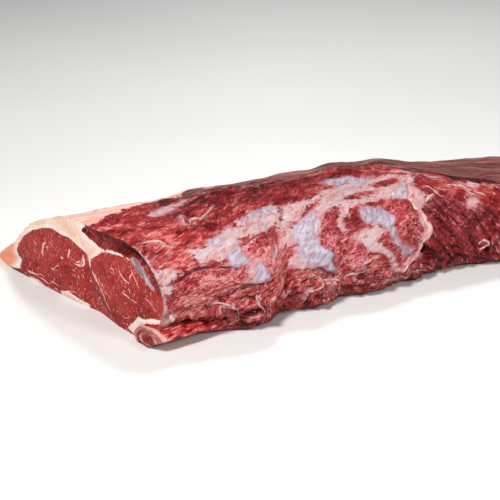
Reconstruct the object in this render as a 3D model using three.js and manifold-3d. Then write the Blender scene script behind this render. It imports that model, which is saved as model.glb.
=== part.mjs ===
// A whole boneless beef rib roast, raw, lying on its fat side with the boned side up. Millimetres, +Z up,
// +X along the roast from the near cut to the far cut, +Y from its thick chine edge to its thin fat tail.
// The origin is under the middle of the roast, on the surface that it lies on.
import * as THREE from "three";
import { mergeVertices } from "three/addons/utils/BufferGeometryUtils.js";
import Module from "manifold-3d";

const wasm = await Module();
wasm.setup();

// Length of the roast along its middle, and where the near cut lies on the length scale that the stations
// use.
const NEAR_X = -124;
const LENGTH = 516;

// Sizes at stations along the length: where the front edge and the tail's tip lie, and how thick the roast
// is.
const STATION_X = [-124, -95, -70, -45, -22, -2, 34, 62, 98, 130, 185, 235, 285, 335, 392];
const FRONT_Y = [-64, -67, -74, -80, -80, -68, -77, -72, -80, -76, -77, -87, -101, -115, -132];
const TAIL_Y = [182, 179, 176, 173, 170, 168, 168, 168, 168, 168, 164, 152, 136, 118, 98];
const THICK = [90, 89, 88, 87.5, 87, 86.5, 85.5, 85, 83.5, 82, 79, 73, 68.5, 65, 62];

// Outlines of a section, front edge to tail and back underneath, as [share of the width, share of the
// thickness].
const NEAR_OUTLINE = [
  [0.12, 0], [0.078, 0.05], [0.05, 0.18], [0.022, 0.34], [0.008, 0.51], [0.021, 0.67],
  [0.06, 0.83], [0.107, 0.93], [0.166, 0.98], [0.244, 1], [0.337, 0.97], [0.439, 0.955],
  [0.53, 0.905], [0.63, 0.8], [0.72, 0.67], [0.805, 0.5], [0.887, 0.28], [0.96, 0.11],
  [1, 0.02], [0.96, 0], [0.8, 0], [0.6, 0], [0.41, 0], [0.235, 0],
];
const MIDDLE_OUTLINE = [
  [0.085, 0], [0.035, 0.06], [0.005, 0.2], [0, 0.38], [0.008, 0.56], [0.035, 0.74],
  [0.085, 0.87], [0.15, 0.95], [0.225, 0.99], [0.305, 1], [0.39, 0.985], [0.47, 0.965],
  [0.555, 0.91], [0.64, 0.83], [0.72, 0.7], [0.8, 0.53], [0.88, 0.33], [0.955, 0.14],
  [1, 0.05], [0.955, 0], [0.8, 0], [0.6, 0], [0.4, 0], [0.22, 0],
];
const FAR_OUTLINE = [
  [0.1, 0], [0.045, 0.06], [0.01, 0.22], [0, 0.42], [0.015, 0.62], [0.05, 0.8],
  [0.11, 0.93], [0.18, 1], [0.26, 1], [0.335, 0.96], [0.41, 0.92], [0.48, 0.9],
  [0.56, 0.89], [0.64, 0.86], [0.72, 0.79], [0.8, 0.66], [0.88, 0.44], [0.96, 0.18],
  [1, 0.06], [0.95, 0], [0.77, 0], [0.58, 0], [0.4, 0], [0.24, 0],
];

// Where along the roast the near outline gives way to the middle one, and the middle one to the far one.
const NEAR_OUTLINE_ENDS = 10;
const FAR_OUTLINE_STARTS = 170;
const FAR_OUTLINE_FULL = 300;

// The girth coordinate of a point is its distance in millimetres round this middle section, from the front
// foot.
const GIRTH_WIDTH = 252;
const GIRTH_THICK = 86;

// The two cuts are a little askew: the near one leads at the tail, and so does the far one.
const NEAR_SKEW = -0.27;
const NEAR_SKEW_REACH = 0.45;
const FAR_SKEW = 0.16;
const FAR_SKEW_START = 0.6;
const SKEW_Y = -43;

// How far the foot of the near cut stands out past the cut's plane, as [place across the cut, stand], up to
// what height, and how far along the roast.
const FOOT_STAND = [[-40, 0], [40, 0], [72, -4], [100, 1], [150, 4], [200, 6], [226, 1]];
const FOOT_HEIGHT = 34;
const FOOT_REACH = 60;

// The crease between the thick front lobe and the flat back lobe at the far end, as a line in plan.
const CREASE = [[170, 112], [196, 86], [222, 52], [244, 16], [264, -10], [290, -32], [330, -52], [400, -74]];
const CREASE_START = 170;
const CREASE_FULL = 250;
const CREASE_DEPTH = 11;
const CREASE_WIDTH = 9;
const CREASE_SLANT = 0.62;
const LIP_AWAY = 14;
const LIP_HEIGHT = 3;
const LIP_WIDTH = 10;
const BACK_LOBE_DROP = 5;

// Lumps (height over 0) and hollows (under 0): centre on the length and girth scales, half length, half
// width, the turn of their long side in degrees, and height.
const LUMPS = [
  [-60, 214, 36, 20, 8, 4], // the fat ridge behind the near cut
  [-92, 140, 40, 20, 55, 1.6], // long muscle of the boned side
  [-20, 172, 46, 18, 48, 2.2],
  [52, 176, 38, 16, 40, 2.4],
  [-34, 126, 40, 14, 28, -2.6], // rib beds, where the bones were lifted out
  [28, 104, 42, 17, 42, -3.0],
  [104, 100, 36, 18, 30, -2.2],
  [112, 152, 40, 13, 8, -2.0],
  [-22, 96, 20, 13, 30, 3.0], // islands of meat between the beds
  [52, 92, 26, 17, 60, 3.0],
  [130, 86, 18, 20, 80, 3.2],
  [178, 76, 34, 26, -50, 3.4],
  [222, 66, 30, 24, -60, 2.6],
  [-92, 66, 40, 11, 4, 2.6], // flaps and tags along the front edge
  [-84, 43, 26, 6, 14, 3.6],
  [-34, 40, 8, 20, 0, 4.4],
  [8, 52, 14, 10, 20, 3.2],
  [34, 40, 24, 6, 0, 2.6],
  [76, 46, 28, 10, -18, 3.0],
  [124, 36, 18, 10, -20, 3.4],
  [184, 34, 26, 12, -40, 2.6],
  [-58, 26, 12, 9, 0, -4.0], // notches in the lower edge
  [-12, 26, 9, 9, 0, -3.4],
  [52, 24, 16, 8, 0, -3.0],
  [104, 22, 12, 8, 0, -2.6],
  [154, 40, 26, 6, -42, -5.0], // the slit that runs down to the front edge
  [150, 80, 5, 22, 4, 1.6], // a cord of fat over the far muscles
  [200, 104, 30, 8, -14, 1.8],
];

const BUMP_FALL = 1.4;

// Gentle unevenness all over: [waves along the length scale, waves round the girth, turn of phase, height].
const WAVES = [
  [0.055, 0.031, 0.4, 0.8],
  [0.121, -0.047, 2.1, 0.5],
  [-0.083, 0.094, 4.4, 0.5],
];

// The near cut's own relief, from the front foot across the cut and up: two swollen muscles and the seam
// between them.
const EYE = { across: 136, up: 32, halfLength: 58, halfWidth: 28, turn: -8, height: 3.5 };
const INNER_MUSCLE = { across: 38, up: 40, halfLength: 36, halfWidth: 28, turn: -20, height: 2.5 };
const SEAM = { across: 84, up: 62, halfLength: 26, halfWidth: 5, turn: 62, depth: 2.5 };
const FAR_EYE = { across: 128, up: 28, halfLength: 46, halfWidth: 20, turn: -6, height: 3 };
const FAR_INNER = { across: 44, up: 32, halfLength: 30, halfWidth: 22, turn: -10, height: 2.5 };

// The rolled muscle at the foot of the near cut: its end stands out past the cut, it thins out along the
// front edge, and its foot is cut off along the surface below and along a slope under the front edge.
const ROLL_ACROSS = -4;
const ROLL_UP = 8;
const ROLL_TURN = 14;
const ROLL_WIDTH = 41;
const ROLL_HEIGHT = 22;
const ROLL_LENGTH = 96;
const ROLL_PROUD = 5;
const ROLL_GROOVE = 2.5;
const ROLL_SIDES = 24;
const ROLL_FOOT_TURN = 35;
const ROLL_FOOT_ACROSS = -4;

// The thin strip of muscle over the inner one has shrunk back from the near cut: where it lies round the
// cut's edge, where it lies between the cut's middle (0) and its edge (1), and how deep it is.
const CUT_RELIEF_FULL = 0.9;
const STRIP_ROUND = [0.17, 0.23, 0.43, 0.47];
const STRIP_OUT = [0.76, 0.82, 0.95, 0.985];
const STRIP_DEPTH = 7;

// The heights over the resting surface where relief and the crease set in.
const RELIEF_FROM = 16;
const CREASE_FROM = 12;
const CREASE_ALL = 30;

const NORMAL_STEP = 0.004;
const MERGE_DISTANCE = 1e-3;
const RINGS_ALONG = 54;
const SIDES_ROUND = 60;
// The rings of a cut, from its edge (1) to its middle (0).
const CUT_RINGS = [0.985, 0.95, 0.885, 0.82, 0.74, 0.62, 0.48, 0.34, 0.2, 0.08];

/** A smooth step from 0 at `from` to 1 at `to`. */
function smooth(from, to, value) {
  const t = THREE.MathUtils.clamp((value - from) / (to - from), 0, 1);
  return t * t * (3 - 2 * t);
}

/** The value at x of a smooth curve through the stations. */
function alongStations(x, xs, values) {
  const last = xs.length - 1;
  const at = THREE.MathUtils.clamp(x, xs[0], xs[last]);
  let i = 0;
  while (i < last - 1 && at > xs[i + 1]) i += 1;
  const step = xs[i + 1] - xs[i];
  const t = (at - xs[i]) / step;
  const m0 = slopeAt(xs, values, i) * step;
  const m1 = slopeAt(xs, values, i + 1) * step;
  const t2 = t * t;
  const t3 = t2 * t;
  const before = (2 * t3 - 3 * t2 + 1) * values[i] + (t3 - 2 * t2 + t) * m0;
  const after = (3 * t2 - 2 * t3) * values[i + 1] + (t3 - t2) * m1;
  return before + after;
}

/** The slope of the stations' curve at station i. */
function slopeAt(xs, values, i) {
  const before = Math.max(i - 1, 0);
  const after = Math.min(i + 1, xs.length - 1);
  return (values[after] - values[before]) / (xs[after] - xs[before]);
}

/** The value at x of straight lines between points. */
function alongLine(x, points) {
  let i = 0;
  while (i < points.length - 2 && x > points[i + 1][0]) i += 1;
  const [x0, y0] = points[i];
  const [x1, y1] = points[i + 1];
  return y0 + (y1 - y0) * THREE.MathUtils.clamp((x - x0) / (x1 - x0), 0, 1);
}

/** A point of a closed outline, at a share t of the way round. */
function onOutline(t, outline) {
  const n = outline.length;
  const u = (((t % 1) + 1) % 1) * n;
  const i = Math.floor(u);
  const f = u - i;
  const [a, b, c, d] = [-1, 0, 1, 2].map((k) => outline[(i + k + n) % n]);
  return [0, 1].map((k) => {
    const square = 2 * a[k] - 5 * b[k] + 4 * c[k] - d[k];
    const cube = 3 * b[k] - a[k] - 3 * c[k] + d[k];
    return b[k] + 0.5 * ((c[k] - a[k]) * f + square * f * f + cube * f * f * f);
  });
}

/** Distances round the middle section, at even shares of the way round. */
function girthTable(steps) {
  const table = [0];
  let before = onOutline(0, MIDDLE_OUTLINE);
  for (let k = 1; k <= steps; k += 1) {
    const now = onOutline(k / steps, MIDDLE_OUTLINE);
    const step = Math.hypot((now[0] - before[0]) * GIRTH_WIDTH, (now[1] - before[1]) * GIRTH_THICK);
    table.push(table[k - 1] + step);
    before = now;
  }
  return table;
}

const GIRTH = girthTable(SIDES_ROUND);

/** The bare form, without relief: u is the share of the length, t the share of the way round. */
function barePoint(u, t) {
  const x = NEAR_X + u * LENGTH;
  const near = 1 - smooth(NEAR_X, NEAR_OUTLINE_ENDS, x);
  const far = smooth(FAR_OUTLINE_STARTS, FAR_OUTLINE_FULL, x);
  const shares = [NEAR_OUTLINE, MIDDLE_OUTLINE, FAR_OUTLINE].map((outline) => onOutline(t, outline));
  const weights = [near, 1 - near - far, far];
  const [across, up] = [0, 1].map((k) => weights.reduce((sum, weight, i) => sum + weight * shares[i][k], 0));
  const front = alongStations(x, STATION_X, FRONT_Y);
  const y = front + (alongStations(x, STATION_X, TAIL_Y) - front) * across;
  const z = alongStations(x, STATION_X, THICK) * Math.max(up, 0);
  const nearSkew = NEAR_SKEW * (y - SKEW_Y) * Math.max(1 - u / NEAR_SKEW_REACH, 0);
  const farSkew = FAR_SKEW * (y - SKEW_Y) * Math.max((u - FAR_SKEW_START) / (1 - FAR_SKEW_START), 0);
  const footShare = smooth(FOOT_HEIGHT, 0, z) * smooth(FOOT_REACH, 0, x - NEAR_X);
  const foot = alongLine(y - SKEW_Y, FOOT_STAND) * footShare;
  return new THREE.Vector3(x + nearSkew + farSkew - foot, y, z);
}

/** An oval bump: 1 at its centre, falling away over its half length and half width. */
function bump(dx, dy, halfLength, halfWidth, turn) {
  const a = THREE.MathUtils.degToRad(turn);
  const along = (dx * Math.cos(a) + dy * Math.sin(a)) / halfLength;
  const across = (dy * Math.cos(a) - dx * Math.sin(a)) / halfWidth;
  return Math.exp(-BUMP_FALL * (along * along + across * across));
}

/** How far the surface stands out at a place on the length and girth scales. */
function reliefAt(x, girth) {
  let relief = 0;
  for (const [lumpX, lumpGirth, halfLength, halfWidth, turn, height] of LUMPS) {
    relief += height * bump(x - lumpX, girth - lumpGirth, halfLength, halfWidth, turn);
  }
  for (const [alongX, alongGirth, phase, height] of WAVES) {
    relief += height * Math.sin(alongX * x + alongGirth * girth + phase);
  }
  return relief;
}

/** The crease, its lip and the lower back lobe, as a change of height. */
function creaseAt(point) {
  const away = (point.y - alongLine(point.x, CREASE)) * CREASE_SLANT;
  const lip = LIP_HEIGHT * Math.exp(-(((away + LIP_AWAY) / LIP_WIDTH) ** 2));
  const groove = CREASE_DEPTH * Math.exp(-((away / CREASE_WIDTH) ** 2));
  const drop = BACK_LOBE_DROP * smooth(-4, LIP_AWAY, away);
  return smooth(CREASE_START, CREASE_FULL, point.x) * (lip - groove - drop);
}

/** A point of the roast's side, relief and all. */
function sidePoint(u, j) {
  const t = j / SIDES_ROUND;
  const point = barePoint(u, t);
  const ahead = barePoint(u, t + NORMAL_STEP);
  const behind = barePoint(u, t - NORMAL_STEP);
  const outward = new THREE.Vector3(0, ahead.z - behind.z, behind.y - ahead.y).normalize().negate();
  const clearOfFloor = smooth(0, RELIEF_FROM, point.z);
  const x = NEAR_X + u * LENGTH;
  point.addScaledVector(outward, reliefAt(x, GIRTH[j]) * clearOfFloor);
  point.z = Math.max(point.z + creaseAt(point) * smooth(CREASE_FROM, CREASE_ALL, point.z), 0);
  return point;
}

/** 1 between the two middle values, 0 outside the outer ones. */
function plateau([start, full, fade, end], value) {
  return smooth(start, full, value) * (1 - smooth(fade, end, value));
}

/** How far a cut stands out at a point of it. */
function cutRelief(point, muscles) {
  const across = point.y - SKEW_Y;
  return muscles.reduce((sum, m) => {
    const size = m.height ?? -m.depth;
    return sum + size * bump(across - m.across, point.z - m.up, m.halfLength, m.halfWidth, m.turn);
  }, 0);
}

/** One closed surface: rings along the side, then rings shrinking to a point on each cut. */
function bodyGeometry() {
  const positions = [];
  const faces = [];
  const rings = [];
  const addRing = (points) => {
    rings.push(positions.length / 3);
    points.forEach((p) => positions.push(p.x, p.y, p.z));
  };
  const sides = Array.from({ length: RINGS_ALONG + 1 }, (_, i) =>
    Array.from({ length: SIDES_ROUND }, (_, j) => sidePoint(i / RINGS_ALONG, j)),
  );
  const cutRings = (edge, muscles, stripDepth, outward) => {
    const centre = edge.reduce((sum, p) => sum.addScaledVector(p, 1 / edge.length), new THREE.Vector3());
    return CUT_RINGS.map((share) =>
      edge.map((p, j) => {
        const q = centre.clone().lerp(p, share);
        const strip = stripDepth * plateau(STRIP_ROUND, j / SIDES_ROUND) * plateau(STRIP_OUT, share);
        return q.addScaledVector(outward, cutRelief(q, muscles) * smooth(1, CUT_RELIEF_FULL, share) - strip);
      }),
    );
  };
  const nearOut = new THREE.Vector3(-1, NEAR_SKEW, 0).normalize();
  const farOut = new THREE.Vector3(1, -FAR_SKEW, 0).normalize();
  const nearRings = cutRings(sides[0], [EYE, INNER_MUSCLE, SEAM], STRIP_DEPTH, nearOut);
  const farRings = cutRings(sides[RINGS_ALONG], [FAR_EYE, FAR_INNER], 0, farOut);
  [...nearRings.reverse(), ...sides, ...farRings].forEach(addRing);
  for (let r = 0; r < rings.length - 1; r += 1) {
    for (let j = 0; j < SIDES_ROUND; j += 1) {
      const next = (j + 1) % SIDES_ROUND;
      const [a, b, c, d] = [rings[r] + j, rings[r] + next, rings[r + 1] + j, rings[r + 1] + next];
      faces.push(a, c, b, b, c, d);
    }
  }
  closeRing(positions, faces, rings[0], false);
  closeRing(positions, faces, rings[rings.length - 1], true);
  const geometry = new THREE.BufferGeometry();
  geometry.setAttribute("position", new THREE.Float32BufferAttribute(positions, 3));
  geometry.setIndex(faces);
  return geometry;
}

/** Closes the smallest ring of a cut with a fan to its middle. */
function closeRing(positions, faces, start, isFar) {
  const ring = positions.slice(start * 3, (start + SIDES_ROUND) * 3);
  const total = (k) => ring.filter((_, i) => i % 3 === k).reduce((sum, value) => sum + value, 0);
  const middle = [0, 1, 2].map((k) => total(k) / SIDES_ROUND);
  const tip = positions.length / 3;
  positions.push(...middle);
  for (let j = 0; j < SIDES_ROUND; j += 1) {
    const next = (j + 1) % SIDES_ROUND;
    faces.push(tip, ...(isFar ? [start + next, start + j] : [start + j, start + next]));
  }
}

/** The rolled muscle at its place: turned rings on its end, in line with the near cut, then a long taper. */
function rollGeometry() {
  const profile = [
    [0, 0],
    [0.14, 0],
    [0.2, ROLL_GROOVE],
    [0.26, 0],
    [0.34, 0],
    [0.38, ROLL_GROOVE],
    [0.44, 0],
    [0.5, ROLL_GROOVE],
    [0.5, 0.3 * ROLL_LENGTH],
    [0.42, 0.6 * ROLL_LENGTH],
    [0.24, 0.88 * ROLL_LENGTH],
    [0, ROLL_LENGTH],
  ].map(([radius, along]) => new THREE.Vector2(radius, along));
  const shear = new THREE.Matrix4().makeShear(0, 0, NEAR_SKEW, 0, 0, 0);
  return new THREE.LatheGeometry(profile, ROLL_SIDES)
    .rotateZ(-Math.PI / 2)
    .scale(1, ROLL_WIDTH, ROLL_HEIGHT)
    .rotateX(-THREE.MathUtils.degToRad(ROLL_TURN))
    .applyMatrix4(shear)
    .translate(NEAR_X + NEAR_SKEW * ROLL_ACROSS - ROLL_PROUD, SKEW_Y + ROLL_ACROSS, ROLL_UP);
}

/** A closed geometry as a solid. */
function solidOf(geometry) {
  const bare = geometry.clone();
  bare.deleteAttribute("normal");
  bare.deleteAttribute("uv");
  const merged = mergeVertices(bare, MERGE_DISTANCE);
  const vertProperties = merged.attributes.position.array;
  const triVerts = new Uint32Array(merged.index.array);
  return new wasm.Manifold(new wasm.Mesh({ numProp: 3, vertProperties, triVerts }));
}

/** A solid as a geometry. */
function geometryOf(solid) {
  const mesh = solid.getMesh();
  const geometry = new THREE.BufferGeometry();
  geometry.setAttribute("position", new THREE.BufferAttribute(mesh.vertProperties, 3));
  geometry.setIndex(new THREE.BufferAttribute(mesh.triVerts, 1));
  geometry.computeVertexNormals();
  return geometry;
}

/** The body and the rolled muscle as one piece, moved so that the origin is under its middle. */
function roastGeometry() {
  const belowPlane = (turn) =>
    new THREE.BoxGeometry(2 * LENGTH, 2 * LENGTH, ROLL_HEIGHT)
      .translate(0, 0, -ROLL_HEIGHT / 2)
      .rotateX(-THREE.MathUtils.degToRad(turn))
      .translate(0, SKEW_Y + ROLL_FOOT_ACROSS, 0);
  const cutters = [0, ROLL_FOOT_TURN].map((turn) => solidOf(belowPlane(turn)));
  const roll = cutters.reduce((rest, cutter) => rest.subtract(cutter), solidOf(rollGeometry()));
  const geometry = geometryOf(solidOf(bodyGeometry()).add(roll));
  geometry.computeBoundingBox();
  const { min, max } = geometry.boundingBox;
  return geometry.translate(-(min.x + max.x) / 2, -(min.y + max.y) / 2, -min.z);
}

const beef = new THREE.MeshStandardMaterial({ color: 0x8c2b28, roughness: 0.42, metalness: 0 });
const roast = new THREE.Mesh(roastGeometry(), beef);
roast.name = "roast";

const model = new THREE.Group();
model.add(roast);

export default model;
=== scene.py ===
"""Dresses a raw boneless beef rib roast that lies on its fat side, with its near end cut clean.

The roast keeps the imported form: it is lofted again on a finer grid, with the relief of its fibres,
membranes, clefts and tags, and painted by maps of its tissues. Places on its side are a length and
a girth, places on its cuts are a width and a height, all in millimetres.
"""
import logging
import math
from collections.abc import Sequence
from dataclasses import dataclass
from enum import Enum
from functools import cache, cached_property

import bpy
import numpy as np
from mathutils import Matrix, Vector


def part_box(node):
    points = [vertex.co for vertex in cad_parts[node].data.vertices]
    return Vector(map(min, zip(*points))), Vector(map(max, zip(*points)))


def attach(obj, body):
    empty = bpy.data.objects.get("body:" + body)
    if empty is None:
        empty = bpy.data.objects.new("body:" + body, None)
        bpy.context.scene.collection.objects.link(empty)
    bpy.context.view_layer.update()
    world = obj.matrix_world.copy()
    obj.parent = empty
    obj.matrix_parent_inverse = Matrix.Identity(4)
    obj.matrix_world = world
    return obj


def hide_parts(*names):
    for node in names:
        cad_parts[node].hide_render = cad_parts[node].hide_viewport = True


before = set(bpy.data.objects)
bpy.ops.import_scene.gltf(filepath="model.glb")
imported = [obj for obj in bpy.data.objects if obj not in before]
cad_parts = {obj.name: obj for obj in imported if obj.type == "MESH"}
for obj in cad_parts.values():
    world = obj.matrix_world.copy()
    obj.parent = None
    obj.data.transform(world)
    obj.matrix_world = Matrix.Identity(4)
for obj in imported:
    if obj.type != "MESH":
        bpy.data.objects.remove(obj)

LOG = logging.getLogger("rib_roast")
MM = 0.001
FAR_OFF = 40.0
UNDER_FLOOR = 0.0002

Array = np.ndarray
Key = tuple[float, float]
Rgb = tuple[float, float, float]
Socket = bpy.types.NodeSocket
Value = float | Socket
Colour = Rgb | Socket

# The fibres' directions, in degrees from the length, and where one gives way to the next, in millimetres.
UPPER_TURN = 33.0
LOWER_TURN = 20.0
FAR_TURN = -55.0
FAR_MUSCLES = (112.0, 150.0)
FAR_MUSCLES_MIDDLE = 130.0
LOWER_FRONT = (106.0, 84.0)
LOWER_FRONT_MIDDLE = 95.0


def smooth(low: float, high: float, value: Array | float) -> Array:
    """A smooth step.

    Args:
        low: The value where the step is 0.
        high: The value where the step is 1.
        value: Where to read the step.

    Returns:
        The step at each value, from 0 to 1.
    """
    t = np.clip((np.asarray(value, float) - low) / (high - low), 0, 1)
    return t * t * (3 - 2 * t)


def along_stations(x: Array, xs: tuple[float, ...], values: tuple[float, ...]) -> Array:
    """Reads a smooth curve through stations.

    Args:
        x: Places on the length scale.
        xs: The stations' places.
        values: The values at the stations.

    Returns:
        The curve's value at each place.
    """
    s, v = np.asarray(xs, float), np.asarray(values, float)
    last = len(s) - 1
    slope = np.array([(v[min(i + 1, last)] - v[max(i - 1, 0)]) / (s[min(i + 1, last)] - s[max(i - 1, 0)])
                      for i in range(last + 1)])
    at = np.clip(x, s[0], s[-1])
    i = np.clip(np.searchsorted(s, at) - 1, 0, last - 1)
    step = s[i + 1] - s[i]
    t = (at - s[i]) / step
    before = (2 * t**3 - 3 * t**2 + 1) * v[i] + (t**3 - 2 * t**2 + t) * slope[i] * step
    after = (3 * t**2 - 2 * t**3) * v[i + 1] + (t**3 - t**2) * slope[i + 1] * step
    return before + after


def on_outline(t: Array, keys: tuple[Key, ...]) -> Array:
    """Reads a closed smooth outline.

    Args:
        t: Shares of the way round, from 0 to 1.
        keys: The outline's points.

    Returns:
        A point for each share, in the last axis.
    """
    k = np.asarray(keys, float)
    n = len(k)
    u = np.mod(t, 1.0) * n
    i = np.floor(u).astype(int)
    f = (u - i)[..., None]
    a, b, c, d = (k[(i + step) % n] for step in (-1, 0, 1, 2))
    return b + 0.5 * ((c - a) * f + (2 * a - 5 * b + 4 * c - d) * f**2 + (3 * b - a - 3 * c + d) * f**3)


@dataclass(frozen=True)
class Lump:
    """An oval swelling (height over 0) or hollow (under 0) on a surface's two scales, in millimetres."""

    x: float
    girth: float
    half_length: float
    half_width: float
    turn: float
    height: float

    def at(self, x: Array, girth: Array) -> Array:
        """The lump's height at places on the two scales."""
        a = math.radians(self.turn)
        dx, dy = x - self.x, girth - self.girth
        along = (dx * math.cos(a) + dy * math.sin(a)) / self.half_length
        across = (dy * math.cos(a) - dx * math.sin(a)) / self.half_width
        return self.height * np.exp(-1.4 * (along**2 + across**2))


@dataclass(frozen=True)
class RoastForm:
    """The roast's bare form in millimetres: sections along its length, lumps, and its far end's crease."""

    near_x: float = -124.0
    length: float = 516.0
    station_x: tuple[float, ...] = (-124, -95, -70, -45, -22, -2, 34, 62, 98, 130, 185, 235, 285, 335, 392)
    front_y: tuple[float, ...] = (
        -64, -67, -74, -80, -80, -68, -77, -72, -80, -76, -77, -87, -101, -115, -132)
    tail_y: tuple[float, ...] = (182, 179, 176, 173, 170, 168, 168, 168, 168, 168, 164, 152, 136, 118, 98)
    thick: tuple[float, ...] = (90, 89, 88, 87.5, 87, 86.5, 85.5, 85, 83.5, 82, 79, 73, 68.5, 65, 62)
    near_outline: tuple[Key, ...] = (
        (0.12, 0), (0.078, 0.05), (0.05, 0.18), (0.022, 0.34), (0.008, 0.51), (0.021, 0.67),
        (0.06, 0.83), (0.107, 0.93), (0.166, 0.98), (0.244, 1), (0.337, 0.97), (0.439, 0.955),
        (0.53, 0.905), (0.63, 0.8), (0.72, 0.67), (0.805, 0.5), (0.887, 0.28), (0.96, 0.11),
        (1, 0.02), (0.96, 0), (0.8, 0), (0.6, 0), (0.41, 0), (0.235, 0))
    middle_outline: tuple[Key, ...] = (
        (0.085, 0), (0.035, 0.06), (0.005, 0.2), (0, 0.38), (0.008, 0.56), (0.035, 0.74),
        (0.085, 0.87), (0.15, 0.95), (0.225, 0.99), (0.305, 1), (0.39, 0.985), (0.47, 0.965),
        (0.555, 0.91), (0.64, 0.83), (0.72, 0.7), (0.8, 0.53), (0.88, 0.33), (0.955, 0.14),
        (1, 0.05), (0.955, 0), (0.8, 0), (0.6, 0), (0.4, 0), (0.22, 0))
    far_outline: tuple[Key, ...] = (
        (0.1, 0), (0.045, 0.06), (0.01, 0.22), (0, 0.42), (0.015, 0.62), (0.05, 0.8),
        (0.11, 0.93), (0.18, 1), (0.26, 1), (0.335, 0.96), (0.41, 0.92), (0.48, 0.9),
        (0.56, 0.89), (0.64, 0.86), (0.72, 0.79), (0.8, 0.66), (0.88, 0.44), (0.96, 0.18),
        (1, 0.06), (0.95, 0), (0.77, 0), (0.58, 0), (0.4, 0), (0.24, 0))
    near_outline_ends: float = 10
    far_outline_span: Key = (170, 300)
    girth_size: Key = (252, 86)
    near_skew: float = -0.27
    near_skew_reach: float = 0.45
    far_skew: float = 0.16
    far_skew_start: float = 0.6
    skew_y: float = -43
    foot_stand: tuple[Key, ...] = ((-40, 0), (40, 0), (72, -4), (100, 1), (150, 4), (200, 6), (226, 1))
    foot_height: float = 34
    foot_reach: float = 60
    crease: tuple[Key, ...] = (
        (170, 112), (196, 86), (222, 52), (244, 16), (264, -10), (290, -32), (330, -52), (400, -74))
    crease_span: Key = (170, 250)
    crease_depth: float = 11
    crease_width: float = 9
    crease_slant: float = 0.62
    lip_away: float = 14
    lip_height: float = 3
    lip_width: float = 10
    back_lobe_drop: float = 5
    lumps: tuple[Lump, ...] = (
        Lump(-60, 214, 36, 20, 8, 4), Lump(-92, 140, 40, 20, 55, 1.6), Lump(-20, 172, 46, 18, 48, 2.2),
        Lump(52, 176, 38, 16, 40, 2.4), Lump(-34, 126, 40, 14, 28, -2.6), Lump(28, 104, 42, 17, 42, -3.0),
        Lump(104, 100, 36, 18, 30, -2.2), Lump(112, 152, 40, 13, 8, -2.0), Lump(-22, 96, 20, 13, 30, 3.0),
        Lump(52, 92, 26, 17, 60, 3.0), Lump(130, 86, 18, 20, 80, 3.2), Lump(178, 76, 34, 26, -50, 3.4),
        Lump(222, 66, 30, 24, -60, 2.6), Lump(-92, 66, 40, 11, 4, 2.6), Lump(-84, 43, 26, 6, 14, 3.6),
        Lump(-34, 40, 8, 20, 0, 4.4), Lump(8, 52, 14, 10, 20, 3.2), Lump(34, 40, 24, 6, 0, 2.6),
        Lump(76, 46, 28, 10, -18, 3.0), Lump(124, 36, 18, 10, -20, 3.4), Lump(184, 34, 26, 12, -40, 2.6),
        Lump(-58, 26, 12, 9, 0, -4.0), Lump(-12, 26, 9, 9, 0, -3.4), Lump(52, 24, 16, 8, 0, -3.0),
        Lump(104, 22, 12, 8, 0, -2.6), Lump(154, 40, 26, 6, -42, -5.0), Lump(150, 80, 5, 22, 4, 1.6),
        Lump(200, 104, 30, 8, -14, 1.8))
    waves: tuple[tuple[float, float, float, float], ...] = (
        (0.055, 0.031, 0.4, 0.8), (0.121, -0.047, 2.1, 0.5), (-0.083, 0.094, 4.4, 0.5))

    def girth_table(self) -> tuple[Array, Array]:
        """Gives shares of the way round and the distances round the middle section that they lie at."""
        t = np.linspace(0, 1, 1201)
        points = on_outline(t, self.middle_outline) * np.array(self.girth_size)
        steps = np.linalg.norm(np.diff(points, axis=0), axis=1)
        return t, np.concatenate([[0.0], np.cumsum(steps)])

    def share_at(self, girth: Array) -> Array:
        """The share of the way round at distances round the middle section."""
        t, distance = self.girth_table()
        return np.interp(girth, distance, t)

    def bare(self, x0: Array, t: Array) -> Array:
        """Gives the bare form.

        Args:
            x0: Places on the length scale.
            t: Shares of the way round a section.

        Returns:
            Points in millimetres, in the last axis.
        """
        u = (x0 - self.near_x) / self.length
        near = (1 - smooth(self.near_x, self.near_outline_ends, x0))[..., None]
        far = smooth(*self.far_outline_span, x0)[..., None]
        outlines = ((near, self.near_outline), (1 - near - far, self.middle_outline), (far, self.far_outline))
        share = sum(part * on_outline(t, outline) for part, outline in outlines)
        front = along_stations(x0, self.station_x, self.front_y)
        y = front + (along_stations(x0, self.station_x, self.tail_y) - front) * share[..., 0]
        z = along_stations(x0, self.station_x, self.thick) * np.maximum(share[..., 1], 0)
        near_skew = self.near_skew * (y - self.skew_y) * np.maximum(1 - u / self.near_skew_reach, 0)
        far_share = np.maximum((u - self.far_skew_start) / (1 - self.far_skew_start), 0)
        across, stand = np.array(self.foot_stand, float).T
        foot = np.interp(y - self.skew_y, across, stand)
        foot = foot * smooth(self.foot_height, 0, z) * smooth(self.foot_reach, 0, x0 - self.near_x)
        x = x0 + near_skew + self.far_skew * (y - self.skew_y) * far_share - foot
        return np.stack([x, y, z], -1)

    def crease_at(self, point: Array) -> Array:
        """The change of height that the crease, its lip and the low back lobe make at points."""
        x, y = point[..., 0], point[..., 1]
        line_x, line_y = np.array(self.crease, float).T
        away = (y - np.interp(x, line_x, line_y)) * self.crease_slant
        lip = self.lip_height * np.exp(-(((away + self.lip_away) / self.lip_width) ** 2))
        groove = self.crease_depth * np.exp(-((away / self.crease_width) ** 2))
        drop = self.back_lobe_drop * smooth(-4, self.lip_away, away)
        return smooth(*self.crease_span, x) * (lip - groove - drop)

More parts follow.
